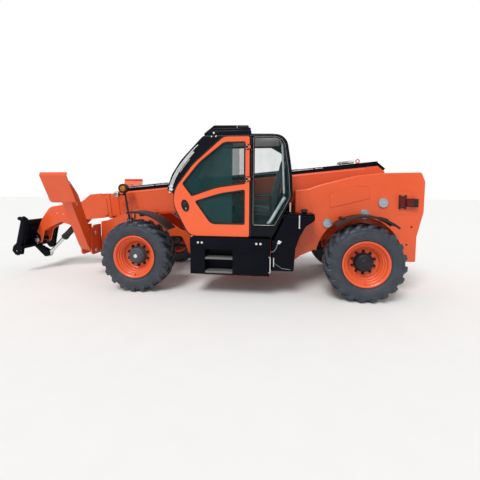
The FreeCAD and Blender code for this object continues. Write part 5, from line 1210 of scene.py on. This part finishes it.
# %% Step box
STEP_OUT = 1200
mesh = bmesh.new()
plate(mesh, at(1391, 1150, 776), at(2614, 1208, 918), 0.005, 2)
plate(mesh, at(1402, 1196, 362), at(1942, 1204, 770), 0.004, 2)
plate(mesh, at(2388, 1196, 362), at(2604, 1204, 770), 0.004, 2)
plate(mesh, at(1945, 1190, 352), at(2385, 1206, 372), 0.004, 2)
piece("step_panels", mesh, "chassis", "black", black)

mesh = bmesh.new()
for ahead in (2484, 2424, 1590, 1528):
    hexagon(mesh, at(ahead, 1208, 846), LEFT, 0.0135, 0.011)
piece("step_bolts", mesh, "chassis", "steel", bright_zinc)

mesh = bmesh.new()
for ahead, up in ((1425, 385), (1920, 385), (1425, 745), (1920, 745), (2410, 385), (2580, 385), (2410, 745), (2580, 745)):
    hexagon(mesh, at(ahead, 1204, up), LEFT, 0.007, 0.005)
piece("step_screws", mesh, "chassis", "black", black)

mesh = bmesh.new()
for up in (402, 615):
    plate(mesh, at(1953, 1034, up - 2), at(2377, 1196, up + 3), 0.002, 2)
    plate(mesh, at(1953, 1190, up - 26), at(2377, 1197, up + 3), 0.002, 2)
    for row in range(4):
        for column in range(16):
            foot = at(1972 + column * 25.6 + (row % 2) * 6, 1060 + row * 34, up + 2)
            bar(mesh, foot, foot + Vector((0, 0, 0.006)), 0.008, 0.005, sides=8)
piece("step_treads", mesh, "chassis", "steel", step_steel)

# %% Tank fittings
mesh = bmesh.new()
plate(mesh, at(726, 745, 1284), at(1172, 1143, 1291), 0.003, 2)
plate(mesh, at(1138, 1100, 1255), at(1180, 1144, 1291), 0.004, 2)
turned(mesh, [(0.0, 0.050), (0.012, 0.052), (0.028, 0.050), (0.034, 0.044), (0.034, 0.0005)],
       at(880, 1005, 1318), 40, Vector((0, 0, 1)), tone=1)
for turn in range(3):
    side = Matrix.Rotation(math.radians(turn * 60), 4, "Z")
    plate(mesh, at(834, 996, 1345), at(926, 1014, 1364), 0.006, 2, side, tone=1)
piece("tank_top", mesh, "chassis", "black", black, plastic)

mesh = bmesh.new()
bar(mesh, at(959, 1147, 1094), at(959, 1147, 1264), 0.011, sides=20)
for up in (1088, 1264):
    bar(mesh, at(959, 1147, up - 6), at(959, 1147, up + 12), 0.015, sides=20, edge=0.002)
    bar(mesh, at(959, 1132, up + 3), at(959, 1150, up + 3), 0.009, sides=16)
piece("sight_tube", mesh, "chassis", "steel", bright_zinc)

mesh = bmesh.new()
bar(mesh, at(1382, 1212, 412), at(1382, 1212, 648), 0.008, sides=14)
bar(mesh, at(1332, 1148, 492), at(1332, 1148, 632), 0.010, sides=16)
for up in (412, 648):
    bar(mesh, at(1404, 1196, up), at(1380, 1213, up), 0.008, sides=12)
turned(mesh, [(0.0, 0.026), (0.010, 0.026), (0.014, 0.018), (0.026, 0.016), (0.030, 0.024), (0.040, 0.022), (0.042, 0.0005)],
       at(1252, 1139, 868), 28, LEFT)
bar(mesh, at(1218, 1174, 884), at(1286, 1174, 852), 0.007, sides=12, edge=0.002)
piece("latch_and_rods", mesh, "chassis", "steel", bright_zinc)

mesh = bmesh.new()
curve = [(1262, 1150, 862), (1285, 1158, 812), (1300, 1164, 770), (1330, 1166, 732), (1372, 1158, 716), (1400, 1130, 708)]
bead(mesh, [at(*point) for point in curve], 0.0045, sides=10)
bead(mesh, [at(1345, 1141, 560), at(1210, 1141, 470), at(1080, 1141, 455)], 0.003, sides=8)
piece("breather_pipe", mesh, "chassis", "steel", pin_silver)

# %% [markdown]
# ## Front post and lamps
# On the nose stands a leaning post with a round reflector head and a square work lamp. The
# reflector's lens is a turned dish and the lamp's glass a flat plate. The same lamps sit on
# both sides.

# %% Front post and head
mesh = bmesh.new()
for side in (-1, 1):
    hub = at(4130, side * 395, 1670)
    turned(mesh, [(0.0, 0.086), (0.010, 0.086), (0.014, 0.080), (0.014, 0.062), (0.004, 0.056)], hub, 48, LEFT * side)
    turned(mesh, [(0.001, 0.057), (0.012, 0.050), (0.018, 0.030), (0.020, 0.0005)], hub, 48, LEFT * side, tone=1)
    bar(mesh, at(4112, side * 360, 1560), at(4126, side * 360, 1600), 0.026, sides=24, edge=0.003)
    bar(mesh, at(4020, side * 360, 1076), at(4021, side * 360, 1110), 0.030, sides=24, edge=0.003)
    for ahead in (4000, 4045):
        hexagon(mesh, at(ahead, side * 380, 1080), LEFT * side, 0.009, 0.008, tone=2)
piece("reflector_heads", mesh, "chassis", "plastic", plastic, amber_lens, zinc)

mesh = bmesh.new()
for side in (-1, 1):
    plate(mesh, at(4222, side * 360 - 44, 1508), at(4304, side * 360 + 44, 1597), 0.012, 3)
    plate(mesh, at(4300, side * 360 - 36, 1516), at(4315, side * 360 + 36, 1589), 0.006, 2, tone=1)
    bar(mesh, at(3965, side * 330, 1120), at(3965, side * 330, 1222), 0.018, sides=20, edge=0.003)
piece("nose_lamps", mesh, "chassis", "plastic", zinc, clear_lens)

# %% [markdown]
# ## Engine side
# The right side is one long hood over the engine. It has a grille behind its slots, two
# recessed handles, rubber buffers along its lower edge and an exhaust outlet through the
# tray. None of it is in the photograph, so it is kept plain and typical.

# %% Hood, grille and exhaust
RIGHT = Vector((0, -1, 0))
hood_low, hood_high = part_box("engine_hood")
mesh = bmesh.new()
for row in range(7):
    up = 990 + row * 42
    plate(mesh, at(1268, -1165, up + 15), at(1794, -1148, up + 21), 0.002, 2)
plate(mesh, at(1256, -1161, 972), at(1806, -1156, 980), 0.002, 2)
plate(mesh, at(1256, -1161, 1282), at(1806, -1156, 1290), 0.002, 2)
for ahead in (1270, 2400):
    plate(mesh, at(ahead - 60, -1166, 900), at(ahead + 60, -1156, 950), 0.008, 3)
    plate(mesh, at(ahead - 40, -1172, 918), at(ahead + 40, -1164, 934), 0.004, 2, tone=1)
piece("hood_trim", mesh, "hood", "plastic", plastic, zinc)
mesh = bmesh.new()
for row in range(38):
    ahead = 1262 + row * 14.4
    plate(mesh, at(ahead, -1141, 985), at(ahead + 3, -1139, 1285), 0.0005, 1)
for row in range(21):
    plate(mesh, at(1262, -1140, 985 + row * 14.6), at(1800, -1138, 988 + row * 14.6), 0.0005, 1)
piece("grille_mesh", mesh, "hood", "black", under_black)
mesh = bmesh.new()
for ahead in range(1120, 2660, 220):
    bar(mesh, at(ahead, -1140, 850), at(ahead, -1163, 850), 0.014, sides=20, edge=0.003)
plate(mesh, at(1040, -1164, 838), at(2690, -1159, 858), 0.002, 2)
piece("tray_buffers", mesh, "chassis", "plastic", gasket_rubber)
mesh = bmesh.new()
bar(mesh, at(2560, -1080, 640), at(2560, -1175, 640), 0.034, sides=32)
turned(mesh, [(0.0, 0.034), (0.003, 0.036), (0.006, 0.034), (0.006, 0.029), (-0.05, 0.028)], at(2560, -1175, 640), 40, RIGHT)
for ahead, up in ((1300, 700), (1500, 700), (1700, 700), (1900, 700), (2100, 700), (2300, 700)):
    hexagon(mesh, at(ahead, -1160, up), RIGHT, 0.010, 0.008)
piece("exhaust", mesh, "chassis", "steel", cast_iron)
print("hood box:", [round(value, 2) for value in (*hood_low, *hood_high)])

# %% [markdown]
# ## Bolts, axles and pins
# Steel structures show their joints: bolt rings on hubs and axle covers, nuts on the ends of
# pins, weld beads where plates meet. Each is a short loop over the places of one kind.

# %% Axles and drive
mesh = bmesh.new()
for axle, side in ((0, 1), (3540, -1)):
    centre = at(axle + side * 150, 0, 560)
    for turn in range(12):
        angle = math.tau * turn / 12
        hexagon(mesh, centre + Vector((side * 0.02, math.cos(angle) * 0.165, math.sin(angle) * 0.165)),
                Vector((side, 0, 0)), 0.012, 0.012)
    turned(mesh, [(0.0, 0.175), (0.018, 0.172), (0.030, 0.120), (0.060, 0.090), (0.075, 0.060), (0.075, 0.0005)],
           centre, 48, Vector((side, 0, 0)), tone=1)
start, end = at(225, 0, 560), at(3315, 0, 560)
bar(mesh, start, end, 0.036, sides=28, tone=1)
for place in (start, end):
    bar(mesh, place - Vector((0.05, 0, 0)), place + Vector((0.05, 0, 0)), 0.062, sides=28, edge=0.004, tone=1)
piece("drive_line", mesh, "chassis", "steel", zinc, under_black)

# %% [markdown]
# ## Pins of the legs and of the carriage
# A pin is a turned bar with a washer and a bolted head, and it shows at both ends. The legs
# turn on pins that run along the machine, the carriage on pins that run across it. Their
# heads ride on the part that holds the pin, so they follow it when it swings.

# %% Pin heads
BACKWARD = Vector((-1, 0, 0))
PIN_HEAD = [(-0.002, 0.036), (0.004, 0.037), (0.006, 0.035), (0.006, 0.027), (0.014, 0.026), (0.017, 0.023),
            (0.017, 0.0005)]


def pin_head(mesh, foot, along, share=1.0):
    """A washer and a round head with its bolt, on a plane that faces along."""
    turned(mesh, [(out * share, radius * share) for out, radius in PIN_HEAD], foot, 36, along)
    hexagon(mesh, foot + along * 0.016 * share, along, 0.010 * share, 0.008 * share, tone=1, washer=0)


beam_low, beam_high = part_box("front_beam")
leg_low, leg_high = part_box("stabiliser_leg_left")
pad_low, pad_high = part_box("stabiliser_pad_left")
print("front beam:", [round(value, 3) for value in (*beam_low, *beam_high)])
mesh = bmesh.new()
for side in (-1, 1):
    for up in (530, 850):
        spot = Vector((0, side * 0.490, up * MM))
        pin_head(mesh, spot + Vector((beam_low.x - 0.001, 0, 0)), BACKWARD)
        pin_head(mesh, spot + Vector((beam_high.x + 0.001, 0, 0)), -BACKWARD)
piece("beam_pin_heads", mesh, "chassis", "steel", zinc, pin_silver)
for name, side in (("left", 1), ("right", -1)):
    mesh = bmesh.new()
    foot = at(4780, side * 1073, 1725)
    for along in (BACKWARD, -BACKWARD):
        pin_head(mesh, foot + along * 0.103, along, 0.9)
    piece(f"pad_pin_heads_{name}", mesh, f"pad_{name}", "steel", zinc, pin_silver)
    mesh = bmesh.new()
    eye = at(4780, side * (490 + 411), 530 + 867)
    for along in (BACKWARD, -BACKWARD):
        pin_head(mesh, eye + along * 0.086, along, 0.8)
    for share in (0.30, 0.5, 0.78):
        spot = at(4780, side * (490 + 583 * share - 70), 530 + 1195 * share + 34)
        turned(mesh, [(0.0, 0.012), (0.004, 0.011), (0.004, 0.0005)], spot + BACKWARD * 0.085, 20, BACKWARD)
    piece(f"leg_pin_heads_{name}", mesh, f"leg_{name}", "steel", zinc, pin_silver)

mesh = bmesh.new()
for side in (-1, 1):
    pin_head(mesh, at(6150, side * 161, 620), LEFT * side, 1.5)
    for up in (-40, 40):
        hexagon(mesh, at(6150 - 8, side * 161, 620 + up * 1.9), LEFT * side, 0.010, 0.008)
piece("carriage_pin_heads", mesh, "carriage", "steel", zinc, pin_silver)
mesh = bmesh.new()
for side in (-1, 1):
    pin_head(mesh, at(5300, side * 130, 1000), LEFT * side, 1.2)
    for along, up in ((5420, 1090), (5560, 1150), (5700, 1170)):
        turned(mesh, [(0.0, 0.013), (0.004, 0.012), (0.005, 0.006), (0.005, 0.0005)], at(along, side * 130, up), 20,
               LEFT * side)
piece("neck_pin_heads", mesh, "boom_third", "steel", zinc, pin_silver)

# %% [markdown]
# ## Steel pipes, clamps and the rear of the frame
# The hydraulic lines along the frame are bent steel tube, held by moulded clamps. The rear
# of the frame carries two round reflectors, with bolt heads above them.

# %% Frame pipes and rear
mesh = bmesh.new()
for row in range(3):
    up = 812 + row * 24
    bead(mesh, [at(1010, 309, up), at(2300, 309, up), at(2420, 309, up - 40), at(2850, 309, up - 40)], 0.0075, sides=10)
piece("frame_pipes", mesh, "chassis", "steel", zinc)
mesh = bmesh.new()
for ahead in (1150, 1600, 2050, 2230):
    plate(mesh, at(ahead, 301, 800), at(ahead + 34, 320, 872), 0.004, 2)
for ahead in (2520, 2760):
    plate(mesh, at(ahead, 301, 760), at(ahead + 34, 320, 832), 0.004, 2)
piece("pipe_clamps", mesh, "chassis", "plastic", plastic)

rear_low, rear_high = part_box("frame_cross")
mesh = bmesh.new()
for side in (-1, 1):
    turned(mesh, [(0.0, 0.040), (0.006, 0.040), (0.009, 0.036), (0.009, 0.0005)],
           at(-945, side * 600, 1180), 36, BACKWARD, tone=1)
    for out in (420, 690):
        hexagon(mesh, at(-945, side * out, 1700), BACKWARD, 0.010, 0.008)
piece("rear_reflectors", mesh, "chassis", "plastic", zinc, red_lens)
print("frame runs from", round(rear_low.x, 2), "to", round(rear_high.x, 2))

# %% Count of pieces
print("pieces:", len(PIECES))
